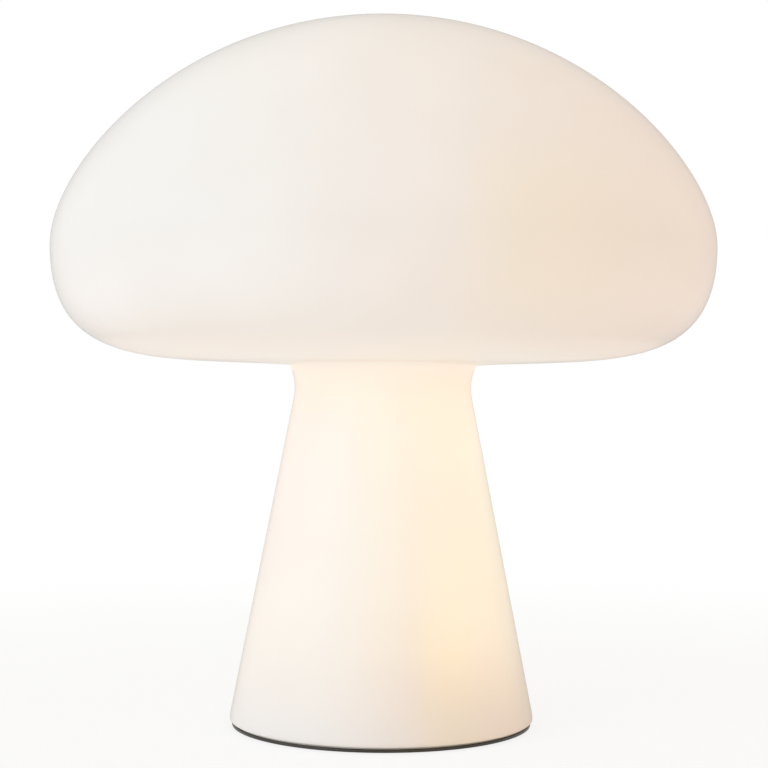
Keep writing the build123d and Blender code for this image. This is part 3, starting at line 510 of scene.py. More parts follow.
@dataclass(frozen=True)
class OpalGlass(Finish):
    """Satin white glass, lit from inside: the glow is strongest in the neck."""

    name: str = "opal_glass"
    white: Colour = (0.92, 0.915, 0.9)
    thin_white: Colour = (0.9, 0.89, 0.87)
    lamp_height: float = 0.235
    glow: tuple[tuple[float, Colour], ...] = (
        (0.0, (0.07, 0.025, 0.0)), (0.03, (0.085, 0.03, 0.0)),
        (0.06, (0.12, 0.045, 0.0)), (0.131, (0.17, 0.085, 0.02)),
        (0.203, (0.19, 0.11, 0.04)), (0.274, (0.187, 0.115, 0.045)),
        (0.345, (0.2, 0.13, 0.06)), (0.417, (0.23, 0.16, 0.09)),
        (0.483, (0.24, 0.185, 0.11)), (0.5108, (0.27, 0.19, 0.14)),
        (0.5125, (0.215, 0.17, 0.145)), (0.517, (0.185, 0.145, 0.12)),
        (0.535, (0.2, 0.143, 0.125)), (0.546, (0.18, 0.13, 0.11)),
        (0.603, (0.168, 0.113, 0.093)), (0.674, (0.13, 0.084, 0.062)),
        (0.8, (0.1, 0.06, 0.043)), (1.0, (0.09, 0.055, 0.035)),
    )
    # the side that faces the front, where some painted light and the painted warm tint are kept
    front: Span = (-0.6, 0.6)
    painted_light_patches: tuple[Patch, ...] = (
        # painted yellow light, a warm streak low on the stem, right of its middle
        Patch((0.07, 0.03, 0.0), Window((0.15, 0.5), (0.5, 1.0), 0.7),
              Window((0.04, 0.12), (0.2, 0.36)), front_only=True),
        # painted brighter light, a fuller band on the front of the stem's middle
        Patch((0.025, 0.035, 0.02), Window((-0.3, 0.1), (0.45, 0.8), 0.6),
              Window((0.08, 0.15), (0.4, 0.5)), front_only=True),
        # painted light on the stem's right side
        Patch((0.06, 0.12, 0.11), Window((0.1, 1.0)), Window((-0.03, 0.16), (0.36, 0.53))),
        # shade under the cap, at the right
        Patch((-0.035, -0.06, -0.068), Window((0.1, 1.0)), Window((0.51, 0.525), (0.54, 0.6))),
        # painted warmer light on the stem's left side
        Patch((0.0, -0.035, -0.03), Window((-0.1, -0.8)), Window((0.15, 0.3), (0.45, 0.5))),
    )
    # painted reddish light from the right, low down, added to the glow where the glass faces it
    painted_right_light: Colour = (0.0736, 0.011, 0.0)
    painted_right_light_from: Colour = (0.9254, -0.3368, 0.1736)
    # painted bluish light from behind and above, added to the glow where the glass faces it
    back: Colour = (0.04, 0.06, 0.085)
    painted_back_light_from: Colour = (0.0, 0.95, 0.3)
    # painted warm light: the base colour turns cream on the front, right of the middle, on a band
    # of the cap and low on the stem
    painted_warm_tint: Colour = (0.92, 0.9, 0.82)
    painted_warm_tint_turn: Window = Window((0.15, 0.35), (0.45, 0.75))
    painted_warm_tint_cap: Window = Window((0.52, 0.62), (0.7, 0.82))
    painted_warm_tint_foot: Span = (0.25, 0.1)
    # tint of the clear casing's gloss, grey so that it paints a darker edge round the glass
    casing_edge_shade_colour: Colour = (0.41, 0.41, 0.4)
    casing_share: float = 0.6
    casing_falloff: float = 7.0
    # under the cap the painted grey edge is kept thin
    crease_falloff: float = 24.0
    crease: Window = Window((0.5, 0.511), (0.518, 0.548))
    # painted shade: on the right of the stem and the foot, the grey edge reaches further in
    right_edge_shade: Span = (0.7, 0.95)
    stem_edge_shade: Span = (0.45, 0.35)
    stem_edge_shade_falloff: float = 2.0
    foot_edge_shade: Span = (0.25, 0.1)
    foot_edge_shade_falloff: float = 1.4

    def write(self, tree: FinishTree) -> None:
        """Writes the white with a painted warm tint, its glow by height, painted light and shade by
        place and by facing, and the casing with its painted grey edge.
        """
        across, along, up = tree.axes()
        radius = (across * across + along * along) ** 0.5
        turn = across / radius
        height = up / self.lamp_height
        front = (0.0 - along / radius).eased(*self.front)
        glow = tree.ramp(height, self.glow)
        # painted light and shade, patch by patch, added to the glow
        for patch in self.painted_light_patches:
            share = turn.within(patch.turn) * height.within(patch.height)
            glow = tree.tinted(glow, front * share if patch.front_only else share, patch.colour)
        # painted reddish light from the right, where the glass faces it
        glow = tree.tinted(glow, tree.facing(self.painted_right_light_from), self.painted_right_light)
        # painted bluish light from behind and above, where the glass faces it
        glow = tree.tinted(glow, tree.facing(self.painted_back_light_from), self.back)
        # painted warm light on the front right, in the base colour
        bands = height.within(self.painted_warm_tint_cap) + height.eased(*self.painted_warm_tint_foot)
        painted_warm_tint_share = front * turn.within(self.painted_warm_tint_turn) * bands
        cloud = tree.noise(22.0, 2.0).eased(*MOTTLE)
        grain = tree.noise(2600.0, 2.0)
        flow = tree.noise(30.0, 1.0, (1.0, 1.0, 0.6))
        # the painted grey edge: thin under the cap, reaching further in on the right of the stem
        # and the foot
        edge = (self.stem_edge_shade_falloff * height.eased(*self.stem_edge_shade)
                + self.foot_edge_shade_falloff * height.eased(*self.foot_edge_shade))
        falloff = (self.casing_falloff + self.crease_falloff * height.within(self.crease)
                   - turn.eased(*self.right_edge_shade) * edge)
        tree.surface({
            "Base Color": tree.blend(painted_warm_tint_share, tree.blend(cloud, self.white, self.thin_white),
                                     self.painted_warm_tint),
            "Roughness": 0.38 + 0.1 * grain,
            "Specular IOR Level": 0.2,
            "Emission Color": glow,
            "Emission Strength": 1.0,
            "Normal": tree.relief(grain, 0.00002, 0.3, tree.relief(flow, 0.0006, 0.35)),
        }, tree.casing(self.casing_share, falloff, self.casing_edge_shade_colour))


@dataclass(frozen=True)
class Metal(Finish):
    """Bare, plated or painted metal with uneven gloss and fine marks."""

    colour: Colour
    dull: Colour
    roughness: float
    spread: float = 0.12
    metallic: float = 1.0
    marks: float = 1200.0
    stretch: Colour = (1.0, 1.0, 1.0)
    relief: float = 0.00001
    coat: float = 0.0

    def write(self, tree: FinishTree) -> None:
        """Writes the metal, its stains and its marks."""
        stain = tree.noise(160.0, 4.0).eased(0.42, 0.72)
        mark = tree.noise(self.marks, 3.0, self.stretch)
        tree.surface({
            "Base Color": tree.blend(stain, self.colour, self.dull),
            "Metallic": self.metallic,
            "Roughness": self.roughness + self.spread * (mark + stain - 0.9),
            "Coat Weight": self.coat,
            "Coat Roughness": 0.25,
            "Normal": tree.relief(mark, self.relief, 0.6),
        })


@dataclass(frozen=True)
class Moulded(Finish):
    """Moulded plastic, rubber, foam or glazed ceramic with a skin of its own."""

    colour: Colour
    second: Colour
    roughness: float
    grain: float = 1800.0
    relief: float = 0.000015
    coat: float = 0.0
    sheen: float = 0.0

    def write(self, tree: FinishTree) -> None:
        """Writes two near colours that drift into each other, and a fine grain."""
        drift = tree.noise(90.0, 3.0).eased(*MOTTLE)
        grain = tree.noise(self.grain, 2.0)
        tree.surface({
            "Base Color": tree.blend(drift, self.colour, self.second),
            "Roughness": self.roughness + 0.16 * (grain - 0.5),
            "Coat Weight": self.coat,
            "Coat Roughness": 0.15,
            "Sheen Weight": self.sheen,
            "Sheen Roughness": 0.5,
            "Normal": tree.relief(grain, self.relief, 0.7),
        })


@dataclass(frozen=True)
class ClearGlass(Finish):
    """Clear thin glass of the bulb, with faint drawing lines."""

    name: str = "clear_glass"
    tint: Colour = (0.99, 0.985, 0.975)

    def write(self, tree: FinishTree) -> None:
        """Writes see-through glass whose lines run upwards."""
        lines = tree.noise(120.0, 2.0, (1.0, 1.0, 0.15))
        tree.surface({
            "Base Color": (*self.tint, 1.0),
            "Roughness": 0.01 + 0.03 * lines,
            "IOR": 1.5,
            "Transmission Weight": 1.0,
            "Normal": tree.relief(lines, 0.00004, 0.2),
        })


@dataclass(frozen=True)
class LitFilament(Finish):
    """Phosphor-coated filament, whose light runs in faint beads."""

    name: str = "lit_filament"
    warm: Colour = (1.0, 0.76, 0.42)
    hot: Colour = (1.0, 0.88, 0.62)
    strength: float = 1.4

    def write(self, tree: FinishTree) -> None:
        """Writes the coating and its light."""
        grain = tree.noise(1500.0, 3.0)
        beads = tree.noise(420.0, 1.0, (0.2, 0.2, 1.0)).eased(0.3, 0.6)
        tree.surface({
            "Base Color": tree.blend(grain, self.warm, self.hot),
            "Roughness": 0.6 + 0.2 * grain,
            "Emission Color": tree.blend(beads, self.warm, self.hot),
            "Emission Strength": self.strength,
            "Normal": tree.relief(grain, 0.00005, 0.6),
        })


FINISHES: tuple[Finish, ...] = (
    OpalGlass(),
    Metal("dark_base", (0.04, 0.03, 0.018), (0.055, 0.043, 0.028), 0.45, 0.1,
          metallic=0.2, marks=2400.0, relief=0.00002, coat=0.05),
    Moulded("black_foam", (0.03, 0.03, 0.03), (0.045, 0.044, 0.042), 0.9, 2200.0,
            relief=0.0001, sheen=0.3),
    Moulded("black_rubber", (0.022, 0.022, 0.023), (0.035, 0.034, 0.033), 0.62, 1500.0,
            relief=0.00003),
    Moulded("milky_silicone", (0.75, 0.73, 0.68), (0.68, 0.66, 0.61), 0.5),
    Metal("zinc_steel", (0.66, 0.67, 0.69), (0.5, 0.51, 0.5), 0.36, 0.22,
          stretch=(1.0, 0.12, 1.0)),
    Metal("spring_steel", (0.4, 0.41, 0.44), (0.27, 0.28, 0.33), 0.3, 0.15,
          stretch=(0.2, 0.2, 1.0)),
    Metal("bright_nickel", (0.75, 0.73, 0.68), (0.62, 0.6, 0.56), 0.18),
    Metal("brass", (0.78, 0.58, 0.27), (0.55, 0.38, 0.17), 0.28, 0.2),
    Moulded("white_plastic", (0.82, 0.81, 0.77), (0.77, 0.75, 0.7), 0.38),
    Moulded("black_plastic", (0.025, 0.024, 0.024), (0.036, 0.033, 0.031), 0.36, 900.0),
    Moulded("white_ceramic", (0.86, 0.84, 0.79), (0.8, 0.78, 0.74), 0.25, 700.0, coat=0.6),
    Moulded("brown_insulation", (0.16, 0.06, 0.025), (0.12, 0.045, 0.02), 0.4),
    Moulded("blue_insulation", (0.02, 0.1, 0.42), (0.02, 0.08, 0.34), 0.4),
    ClearGlass(),
    Moulded("black_vitrite", (0.012, 0.012, 0.016), (0.025, 0.022, 0.03), 0.12, 500.0,
            coat=0.8),
    Metal("solder", (0.62, 0.62, 0.6), (0.42, 0.42, 0.42), 0.4, 0.25,
          marks=500.0, relief=0.0001),
    LitFilament(),
)


class Bench:
    """Holds one material for each of the record's slots, and dresses pieces."""

    def __init__(self, record: dict[str, Any]) -> None:
        """Reads which slot each node takes and builds every finish once."""
        self.slots = {part["node"]: part["material_slot"] for part in record["subparts"]}
        self.materials = {finish.name: finish.build() for finish in FINISHES}

    def dress_nodes(self, nodes: dict[str, bpy.types.Object]) -> None:
        """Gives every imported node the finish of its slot."""
        for name, node in nodes.items():
            material = self.materials[self.slots[name]]
            if not node.material_slots:
                node.data.materials.append(material)
            for slot in node.material_slots:
                slot.material = material

    def dress(self, piece: bpy.types.Object, node: str, body: str) -> None:
        """Dresses a new piece that stands for a node, and rides it on its body.

        Args:
            piece: The new piece.
            node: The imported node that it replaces.
            body: The body that both move with.
        """
        slot = self.slots[node]
        piece.data.materials.append(self.materials[slot])
        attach(piece, body)
        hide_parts(node)
        LOG.info("%s: %d faces, %s, rides on %s", piece.name, len(piece.data.polygons), slot, body)


# ---- glass body
@dataclass
class GlassBody:
    """Cap and stem blown in one piece, in millimetres."""

    cap_r: float = 110.0
    stem_h: float = 120.0
    rim_rise: float = 38.6
    dome_rise: float = 76.4
    crown_reach: float = 68.2
    rim_up: float = 25.0
    rim_down: float = 42.2
    under_reach: float = 42.1
    under_slope: float = math.radians(3.6)
    neck_r: float = 29.5
    neck_drop: float = 7.7
    flare_r: float = 17.7
    crease_out: float = 1.0
    crease_in: float = 3.5
    foot_r: float = 50.5
    foot_z: float = 1.8
    heel_r: float = 7.3
    heel_rise: float = 1.05
    wall: float = 3.0
    edge: float = 0.8
    notch_r: float = 5.5
    notch_z: float = 8.5
    notch_share: float = 0.97     # of the half circle over the notch
    band_z: float = 22.0
    dome_rows: int = 56
    under_rows: int = 60
    neck_rows: int = 44
    cone_rows: int = 24
    bend_rows: int = 9
    band_rows: int = 22
    edge_rows: int = 4
    low_rows: int = 40            # rows of a skin that reach from the foot past band_z
    columns: int = 190
    notch_columns: int = 21
    sharp_deg: float = 45.0

    @property
    def rim_z(self) -> float:
        """Height where the cap is widest."""
        return self.stem_h + self.rim_rise

    @property
    def flare_centre(self) -> tuple[float, float]:
        """Middle of the neck's outward flare."""
        return self.neck_r + self.flare_r, self.stem_h - self.neck_drop

    @property
    def heel_centre(self) -> tuple[float, float]:
        """Middle of the rounding at the foot."""
        return self.foot_r - self.heel_r, self.foot_z + self.heel_rise

    @property
    def lean(self) -> float:
        """Angle from level at which the stem's line touches both flare and heel."""
        across = self.flare_centre[0] - self.heel_centre[0]
        up = self.flare_centre[1] - self.heel_centre[1]
        tangent = math.acos((self.flare_r + self.heel_r) / math.hypot(across, up))
        return math.atan2(up, across) - tangent

    def skin(self, inset: float, corner_r: float) -> Array:
        """Outer (inset 0) or inner wall, from the crown down to the foot.

        Dome and rim are two cubic curves, the neck a circle, the stem a straight line
        and the heel a circle. The crease under the cap is rounded.

        Args:
            inset: How far inside the outer wall.
            corner_r: Rounding of the crease.

        Returns:
            The (radius, height) rows.
        """
        radius = self.cap_r - inset
        top = self.rim_z + self.dome_rise - inset
        flare = self.flare_r + inset
        foot = self.heel_r - inset
        rise = math.asin((self.neck_drop + inset) / flare)
        corner = (self.flare_centre[0] - flare * math.cos(rise), self.stem_h + inset)
        handle_in = (corner[0] + self.under_reach * math.cos(self.under_slope),
                     corner[1] + self.under_reach * math.sin(self.under_slope))
        handle_up = self.rim_z + self.rim_up * (top - self.rim_z) / self.dome_rise
        handle_down = self.rim_z - self.rim_down * (self.rim_z - corner[1]) / self.rim_rise
        crown = self.crown_reach * radius / self.cap_r
        rim = (radius, self.rim_z)
        dome = bezier([(0, top), (crown, top), (radius, handle_up), rim], self.dome_rows)
        under = bezier([rim, (radius, handle_down), handle_in, corner], self.under_rows)
        neck = arc(self.flare_centre, flare, HALF_TURN - rise, HALF_TURN + self.lean,
                   self.neck_rows)
        heel = arc(self.heel_centre, foot, self.lean, -math.asin(self.heel_rise / foot),
                   self.bend_rows)
        cone = straight(neck[-1], heel[0], self.cone_rows)
        upper = rounded_corner(joined(dome, under), neck, corner_r, self.bend_rows)
        return joined(upper, cone, heel)

    def grid(self) -> Array:
        """Both walls and the cut edge, as one grid that is notched at the back.

        Above band_z every column is the turned profile. Below it, each column's
        heights are squeezed between band_z and its own cut edge: the foot, or in the
        notch the arch notch_z + sqrt(notch_r^2 - x^2).

        Returns:
            Rows by columns by three coordinates.
        """
        reach = math.asin(self.notch_r / self.foot_r)
        around = np.linspace(QUARTER_TURN + reach, QUARTER_TURN - reach + FULL_TURN, self.columns)
        swing = np.linspace(-1.0, 1.0, self.notch_columns) * QUARTER_TURN * self.notch_share
        inside = QUARTER_TURN + np.arcsin(self.notch_r * np.sin(swing) / self.foot_r)
        angles = np.concatenate([around, inside + FULL_TURN])
        arch = self.notch_z + self.notch_r * np.cos(swing)
        low = np.concatenate([np.full(self.columns, self.foot_z), arch])[None, :]
        share = np.linspace(0.0, 1.0, self.band_rows)[:, None]
        height = self.band_z + (low + self.edge - self.band_z) * share
        walls = []
        for inset, corner_r in ((0.0, self.crease_out), (self.wall, self.crease_in)):
            skin = self.skin(inset, corner_r)
            upper, ends = skin[skin[:, 1] > self.band_z], skin[-self.low_rows:]
            walls.append((upper[:, :1], upper[:, 1:], np.interp(-height, -ends[:, 1], ends[:, 0])))
        (out_r, out_z, low_out), (in_r, in_z, low_in) = walls
        turn = np.linspace(0.0, QUARTER_TURN, self.edge_rows + 1)[1:, None]
        inwards = self.edge * (1 - np.cos(turn))
        upwards = self.edge * (1 - np.sin(turn))
        radii = [out_r, low_out, low_out[-1] - inwards, low_in[-1] + upwards, low_in[::-1],
                 in_r[::-1]]
        heights = [out_z, height, low + upwards, low + inwards, height[::-1], in_z[::-1]]
        return turned(radii, heights, angles)

    def build(self, bench: Bench) -> None:
        """Makes the glass and dresses it."""
        piece = grid_piece("opal_glass_body", self.grid(), False, self.sharp_deg)
        bench.dress(piece, "glass_body", "glass")


# ---- base
@dataclass
class BasePlate:
    """Pressed dark disc under the glass, in millimetres."""

    radius: float = 49.8
    floor_gap: float = 0.3
    sheet: float = 1.0
    pad: float = 1.2
    edge: float = 0.3
    bend: float = 0.25
    step_r: float = 45.9
    step_under_r: float = 45.486
    columns: int = 288

    def build(self, bench: Bench) -> None:
        """Makes the disc from its closed outline, turned about Z, and dresses it."""
        raise_by = self.pad - self.floor_gap
        outline = softened([
            (0.0, self.pad), (self.step_under_r - raise_by, self.pad),
            (self.step_under_r, self.floor_gap), (self.radius, self.floor_gap),
            (self.radius, self.floor_gap + self.sheet), (self.step_r, self.floor_gap + self.sheet),
            (self.step_r - raise_by, self.pad + self.sheet), (0.0, self.pad + self.sheet),
        ], (0, self.bend, self.bend, self.edge, self.edge, self.bend, self.bend, 0))
        piece = grid_piece("dark_base_plate", spun(outline, self.columns), False)
        bench.dress(piece, "base_plate", "base")


# ---- holder and bulb
@dataclass(frozen=True)
class RolledThread:
    """Right-hand rolled thread of a small Edison screw, in millimetres."""

    pitch: float = 2.822
    depth: float = 0.55
    columns: int = 96

    def tube(self, foot: Points, mouth: Points, inner_r: float,
             outer_r: float, rows: Array, fade: Array) -> Array:
        """Threaded wall between two plain ends, as a grid whose last row joins the first.

        Both walls lose fade times depth times (1 - cos(2 pi z / pitch - angle)) / 2.

        Args:
            foot: Lower end's (radius, height) rows, from the inner wall to the outer.
            mouth: Upper end's rows, from the outer wall to the inner.
            inner_r: Largest radius of the inner wall.
            outer_r: Largest radius of the outer wall.
            rows: Heights of the threaded rows, upwards.
            fade: Share of the depth at each of them.

        Returns:
            Rows by columns by three coordinates.
        """
        angles = full_turn(self.columns)
        phase = FULL_TURN * rows[:, None] / self.pitch - angles
        groove = fade[:, None] * self.depth * (1 - np.cos(phase)) / 2
        low, high = np.asarray(foot, float), np.asarray(mouth, float)
        radii = [low[:, :1], outer_r - groove, high[:, :1], (inner_r - groove)[::-1]]
        heights = [low[:, 1:], rows[:, None], high[:, 1:], rows[::-1, None]]
        return turned(radii, heights, angles)


@dataclass
class LampHolder:
    """Two-part holder with gripping ribs and a threaded brass shell, in millimetres."""

    radius: float = 13.5
    bore_r: float = 11.5
    chamfer: float = 2.5
    chamfer_h: float = 2.7
    low_z: float = 15.7
    boss_z: float = 24.7
    ledge_z: float = 36.7
    sleeve_z: float = 39.7
    mouth_z: float = 67.7
    lip: float = 2.5
    lip_chamfer: float = 1.2
    mouth_r: float = 7.95
    flange_r: float = 12.2
    core_r: float = 9.7
    step_z: float = 46.0
    nipple_r: float = 5.05
    joint_gap: float = 0.6        # plain wall beside the joint
    cap_rows: int = 40
    sleeve_rows: int = 50
    ribs: int = 36
    rib_columns: int = 10
    rib_depth: float = 0.35
    rib_fade: float = 1.2
    rib_wall: float = 0.2         # depth of wall that is ribbed
    rib_joint_gap: float = 1.4
    rib_low_gap: float = 4.0
    rib_top_gap: float = 4.5
    shell_r: float = 7.15
    shell_wall: float = 0.5
    shell_low: float = 44.0
    shell_top: float = 66.2
    shell_foot_r: float = 8.55
    shell_foot_gap: float = 1.0
    shell_lip: float = 0.4
    shell_rise: float = 1.6
    shell_fall: float = 0.8
    shell_rows: int = 150
    thread: RolledThread = RolledThread()

    def ribbed(self, outline: Array, low: float, high: float) -> Array:
        """Turned outline whose outer wall is fluted between two heights.

        The radius loses rib_depth times (1 - cos(ribs * angle)) / 2, faded in and out
        at each end of the fluting, and only where it is the outer wall.

        Args:
            outline: Closed (radius, height) rows.
            low: Height where the fluting starts.
            high: Height where it ends.

        Returns:
            Rows by columns by three coordinates.
        """
        angles = full_turn(self.ribs * self.rib_columns)
        radius, height = outline[:, :1], outline[:, 1:]
        fade = faded(height, low, high, self.rib_fade, self.rib_fade)
        fade = fade * (radius > self.radius - self.rib_wall)
        flute = self.rib_depth * (1 - np.cos(self.ribs * angles)) / 2
        return turned([radius - fade * flute], [height], angles)

    def build(self, bench: Bench) -> None:
        """Makes the cap, the sleeve and the threaded shell, and dresses them."""
        edge, joint, lip_z = self.radius - self.chamfer, self.sleeve_z, self.mouth_z - self.lip
        cap = joined(
            [(self.nipple_r, self.low_z), (edge, self.low_z)],
            straight((self.radius, self.low_z + self.chamfer_h),
                     (self.radius, joint - self.joint_gap), self.cap_rows),
            [(self.radius, joint), (self.flange_r, joint), (self.flange_r, self.ledge_z),
             (self.bore_r, self.ledge_z), (self.bore_r, self.boss_z), (self.nipple_r, self.boss_z)],
        )
        points = self.ribbed(cap, self.low_z + self.rib_low_gap, joint - self.rib_joint_gap)
        bench.dress(grid_piece("holder_cap_ribbed", points, True), "holder_cap", "base")
        sleeve = joined(
            [(self.core_r, joint), (self.radius, joint)],
            straight((self.radius, joint + self.joint_gap),
                     (self.radius, self.mouth_z - self.chamfer_h), self.sleeve_rows),
            [(edge, self.mouth_z), (self.mouth_r, self.mouth_z), (self.mouth_r, lip_z),
             (self.bore_r - self.lip_chamfer, lip_z), (self.bore_r, lip_z - self.lip_chamfer),
             (self.bore_r, self.step_z), (self.core_r, self.step_z)],
        )
        points = self.ribbed(sleeve, joint + self.rib_joint_gap, self.mouth_z - self.rib_top_gap)
        bench.dress(grid_piece("holder_sleeve_ribbed", points, True), "holder_sleeve", "base")
        rows = np.linspace(self.shell_low + self.shell_foot_gap,
                           self.shell_top - self.shell_lip, self.shell_rows)
        fade = faded(rows, rows[0], rows[-1], self.shell_rise, self.shell_fall)
        outer_r, foot_top = self.shell_r + self.shell_wall, self.shell_low + self.shell_wall
        foot = [(self.shell_r, self.shell_low), (self.shell_foot_r, self.shell_low),
                (self.shell_foot_r, foot_top), (outer_r, foot_top)]
        mouth = [(outer_r, self.shell_top), (self.shell_r, self.shell_top)]
        points = self.thread.tube(foot, mouth, self.shell_r, outer_r, rows, fade)
        bench.dress(grid_piece("thread_shell_rolled", points, True), "thread_shell", "base")


@dataclass
class Bulb:
    """Golf-ball filament bulb with a rolled screw cap, in millimetres."""

    ball_r: float = 22.5
    ball_z: float = 101.5
    neck_r: float = 9.0
    neck_low: float = 70.7
    neck_bend: float = 1.0
    taper_z: float = 73.6
    glass: float = 0.8
    bend_rows: int = 5
    taper_rows: int = 16
    ball_rows: int = 64
    ball_columns: int = 128
    thread: RolledThread = RolledThread()
    thread_r: float = 6.95
    thread_low: float = 49.6
    thread_top: float = 68.2
    thread_top_gap: float = 0.3
    thread_fade: float = 1.2
    thread_rows: int = 140
    cap_wall: float = 0.5
    collar_r: float = 9.6
    collar_flare: float = 2.0
    collar_h: float = 3.3
    stem_r: float = 2.6
    disc_r: float = 8.1
    disc_h: float = 0.5
    flare_r: float = 5.5
    flare_rows: int = 14
    flare_top: float = 8.0
    stem_h: float = 15.0
    post_r: float = 0.7
    post_top: float = 113.9
    stem_columns: int = 48

    def ball_skin(self, inset: float) -> Array:
        """Wall of the envelope: a straight neck, a line that touches the ball, and the ball.

        Args:
            inset: How far inside the outer wall.

        Returns:
            The (radius, height) rows, upwards.
        """
        ball = self.ball_r - inset
        neck = self.neck_r - inset
        drop = self.ball_z - self.taper_z
        turn = math.atan2(-drop, neck) + math.acos(ball / math.hypot(neck, drop))
        round_part = arc((0.0, self.ball_z), ball, turn, QUARTER_TURN, self.ball_rows)
        round_part[-1, 0] = 0.0
        taper = straight((neck, self.taper_z), round_part[0], self.taper_rows)
        low = straight((neck, self.neck_low), (neck, self.taper_z), self.bend_rows)
        return joined(rounded_corner(low, taper, self.neck_bend, self.bend_rows), round_part)

    def build(self, bench: Bench) -> None:
        """Makes the envelope, the screw cap and the glass stem, and dresses them."""
        walls = joined(self.ball_skin(0.0)[::-1], self.ball_skin(self.glass))
        piece = grid_piece("bulb_glass_ball", spun(walls, self.ball_columns), False, 40.0)
        bench.dress(piece, "bulb_envelope", "bulb")
        wall = self.cap_wall
        rows = np.linspace(self.thread_low + wall, self.thread_top - self.thread_top_gap,
                           self.thread_rows)
        fade = faded(rows, rows[0], rows[-1], self.thread_fade, self.thread_fade)
        inner_r = self.thread_r - wall
        lip = inner_r - wall
        flare = self.thread_top + self.collar_flare
        top = flare + self.collar_h
        foot = [(lip, self.thread_low + wall), (lip, self.thread_low),
                (self.thread_r, self.thread_low)]
        mouth = [(self.thread_r, self.thread_top), (self.collar_r, flare), (self.collar_r, top),
                 (self.collar_r - wall, top), (self.collar_r - wall, flare + wall),
                 (inner_r, self.thread_top + wall)]
        points = self.thread.tube(foot, mouth, inner_r, self.thread_r, rows, fade)
        bench.dress(grid_piece("bulb_screw_cap", points, True), "bulb_cap", "bulb")
        low = self.neck_low + self.glass
        middle = (self.disc_r, low + self.disc_h + self.flare_r)
        outline = joined(
            [(0.0, low), (self.disc_r, low), (self.disc_r, low + self.disc_h)],
            arc(middle, self.flare_r, HALF_TURN + QUARTER_TURN, HALF_TURN, self.flare_rows),
            [(self.stem_r, low + self.flare_top), (self.stem_r, low + self.stem_h),
             (self.post_r, low + self.stem_h), (self.post_r, self.post_top), (0.0, self.post_top)],
        )
        stem = spun(outline, self.stem_columns)
        bench.dress(grid_piece("bulb_glass_stem", stem, False, 50.0), "bulb_stem", "bulb")


# ---- studio
WHITE: Colour = (1.0, 1.0, 1.0)


class Side(Enum):
    """Where a studio light stands, as its azimuth from the front and its height, in degrees."""

    LEFT = (-56.0, 15.0)
    ABOVE = (0.0, 85.0)

    def direction(self) -> Vector:
        """Unit vector from the lamp to the light."""
        azimuth, rise = (math.radians(value) for value in self.value)
        flat = math.cos(rise)
        return Vector((flat * math.sin(azimuth), -flat * math.cos(azimuth), math.sin(rise)))


@dataclass(frozen=True)
class SoftLight:
    """Broad even light. Its colour is what a white card facing it gives back."""

    side: Side
    colour: Colour
    softness: float = 55.0
    away: float = 2.0

    def build(self) -> None:
        """Makes the light, pointing at the lamp."""
        level = max(self.colour)
        data = bpy.data.lights.new(f"soft_{self.side.name.lower()}", "SUN")
        data.energy = math.pi * level
        data.color = tuple(share / level for share in self.colour)
        data.angle = math.radians(self.softness)
        light = bpy.data.objects.new(data.name, data)
        light.location = self.side.direction() * self.away
        light.rotation_euler = (-self.side.direction()).to_track_quat("-Z", "Y").to_euler()
        bpy.context.scene.collection.objects.link(light)
        LOG.info("%s light at %s degrees", data.name, self.side.value)


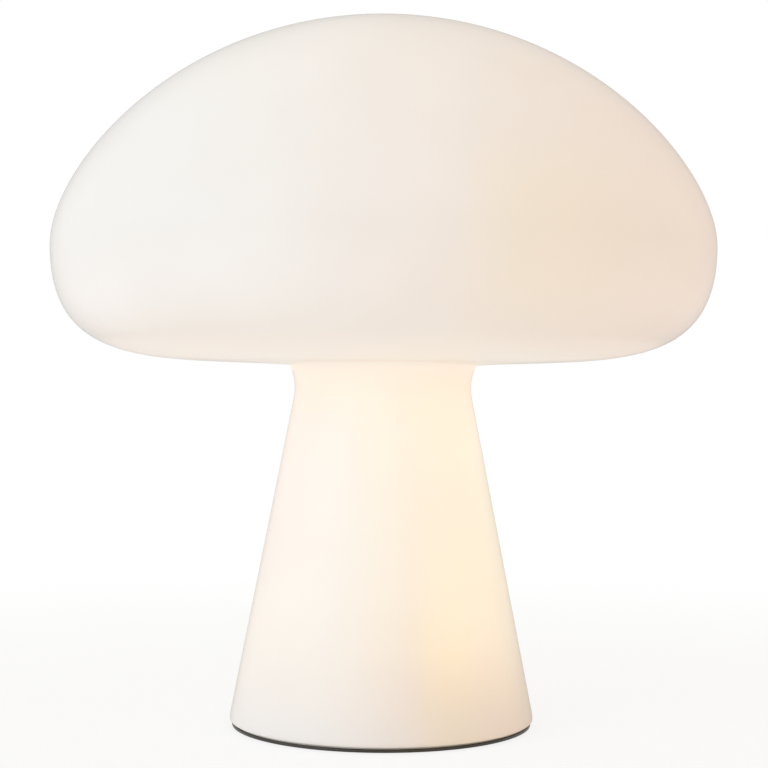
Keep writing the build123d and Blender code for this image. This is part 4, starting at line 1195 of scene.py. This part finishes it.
@dataclass
class Studio:
    """Pale floor, white surroundings, soft lights and the camera."""

    ambient: Colour = (0.667, 0.615, 0.515)
    lights: tuple[SoftLight, ...] = (
        SoftLight(Side.LEFT, (0.2, 0.292, 0.4)),
        SoftLight(Side.ABOVE, (0.08, 0.08, 0.08)),
    )
    floor_r: float = 4.0
    floor_start_mm: float = 40.0
    floor_drop_mm: float = 0.1
    floor_rings: int = 40
    floor_columns: int = 96
    floor_colour: Colour = (0.9, 0.9, 0.9)
    floor_grain: float = 0.98
    near_white: float = 0.84
    white_out: Span = (0.12, 0.5)
    distance: float = 0.5941
    height: float = 0.11367
    aside: float = 0.00037
    focal_px: float = 1772.7
    image_px: float = 768.0
    sensor: float = 36.0
    roll: float = math.radians(0.3)

    def seen(self, tree: FinishTree) -> Signal:
        """1 for camera, mirror and see-through rays, and 0 for the rest."""
        path = tree.add("ShaderNodeLightPath")
        camera, glossy, through = (Signal(tree, path.outputs[f"Is {kind} Ray"])
                                   for kind in ("Camera", "Glossy", "Transmission"))
        return (camera + glossy + through).between(0.0, 1.0)

    def build_world(self) -> None:
        """White to look at, and a plain warm grey as light."""
        world = bpy.data.worlds.new("studio_surroundings")
        bpy.context.scene.world = world
        tree = FinishTree(world)
        light, white = (tree.add("ShaderNodeBackground", {"Color": (*colour, 1.0)}).outputs[0]
                        for colour in (self.ambient, WHITE))
        tree.add("ShaderNodeOutputWorld", {"Surface": tree.mixed(self.seen(tree), light, white)})

    def build_floor(self) -> None:
        """Round floor that keeps a soft shadow near the lamp and turns white away from it."""
        rings = np.geomspace(self.floor_start_mm, self.floor_r / MM, self.floor_rings)
        reach = np.concatenate([[0.0], rings])
        rows = np.stack([reach, np.full_like(reach, -self.floor_drop_mm)], axis=1)
        floor = grid_piece("studio_floor", spun(rows, self.floor_columns), False)
        material = bpy.data.materials.new("studio_floor")
        tree = FinishTree(material)
        across, along, _ = tree.axes()
        away = ((across * across + along * along) ** 0.5).eased(*self.white_out)
        pale = tuple(self.floor_grain * share for share in self.floor_colour)
        colour = tree.blend(tree.noise(300.0, 3.0), self.floor_colour, pale)
        plain = tree.add("ShaderNodeBsdfDiffuse", {"Color": colour}).outputs[0]
        white = tree.add("ShaderNodeEmission", {"Color": (*WHITE, 1.0)}).outputs[0]
        share = self.seen(tree) * (self.near_white + (1.0 - self.near_white) * away)
        tree.add("ShaderNodeOutputMaterial", {"Surface": tree.mixed(share, plain, white)})
        floor.data.materials.append(material)

    def build_camera(self) -> None:
        """Level camera in front of the lamp, at the photograph's distance and height."""
        data = bpy.data.cameras.new("camera")
        data.sensor_width = self.sensor
        data.lens = self.focal_px / self.image_px * self.sensor
        data.clip_start = 0.01
        data.clip_end = 50.0
        camera = bpy.data.objects.new("camera", data)
        place = Matrix.Translation((self.aside, -self.distance, self.height))
        upright = Matrix.Rotation(QUARTER_TURN, 4, "X")
        camera.matrix_world = place @ upright @ Matrix.Rotation(self.roll, 4, "Z")
        bpy.context.scene.collection.objects.link(camera)
        bpy.context.scene.camera = camera

    def build(self) -> None:
        """Makes the whole studio."""
        self.build_world()
        self.build_floor()
        for light in self.lights:
            light.build()
        self.build_camera()
        bpy.context.scene.view_settings.view_transform = "Standard"


def main() -> None:
    """Dresses the lamp, piece by piece, and sets it in the studio."""
    logging.basicConfig(level=logging.INFO, format="%(name)s: %(message)s")
    Studio().build()
    bench = Bench(frame["record"])
    bench.dress_nodes(frame["nodes"])
    GlassBody().build(bench)
    BasePlate().build(bench)
    LampHolder().build(bench)
    Bulb().build(bench)


if __name__ == "__main__":
    main()
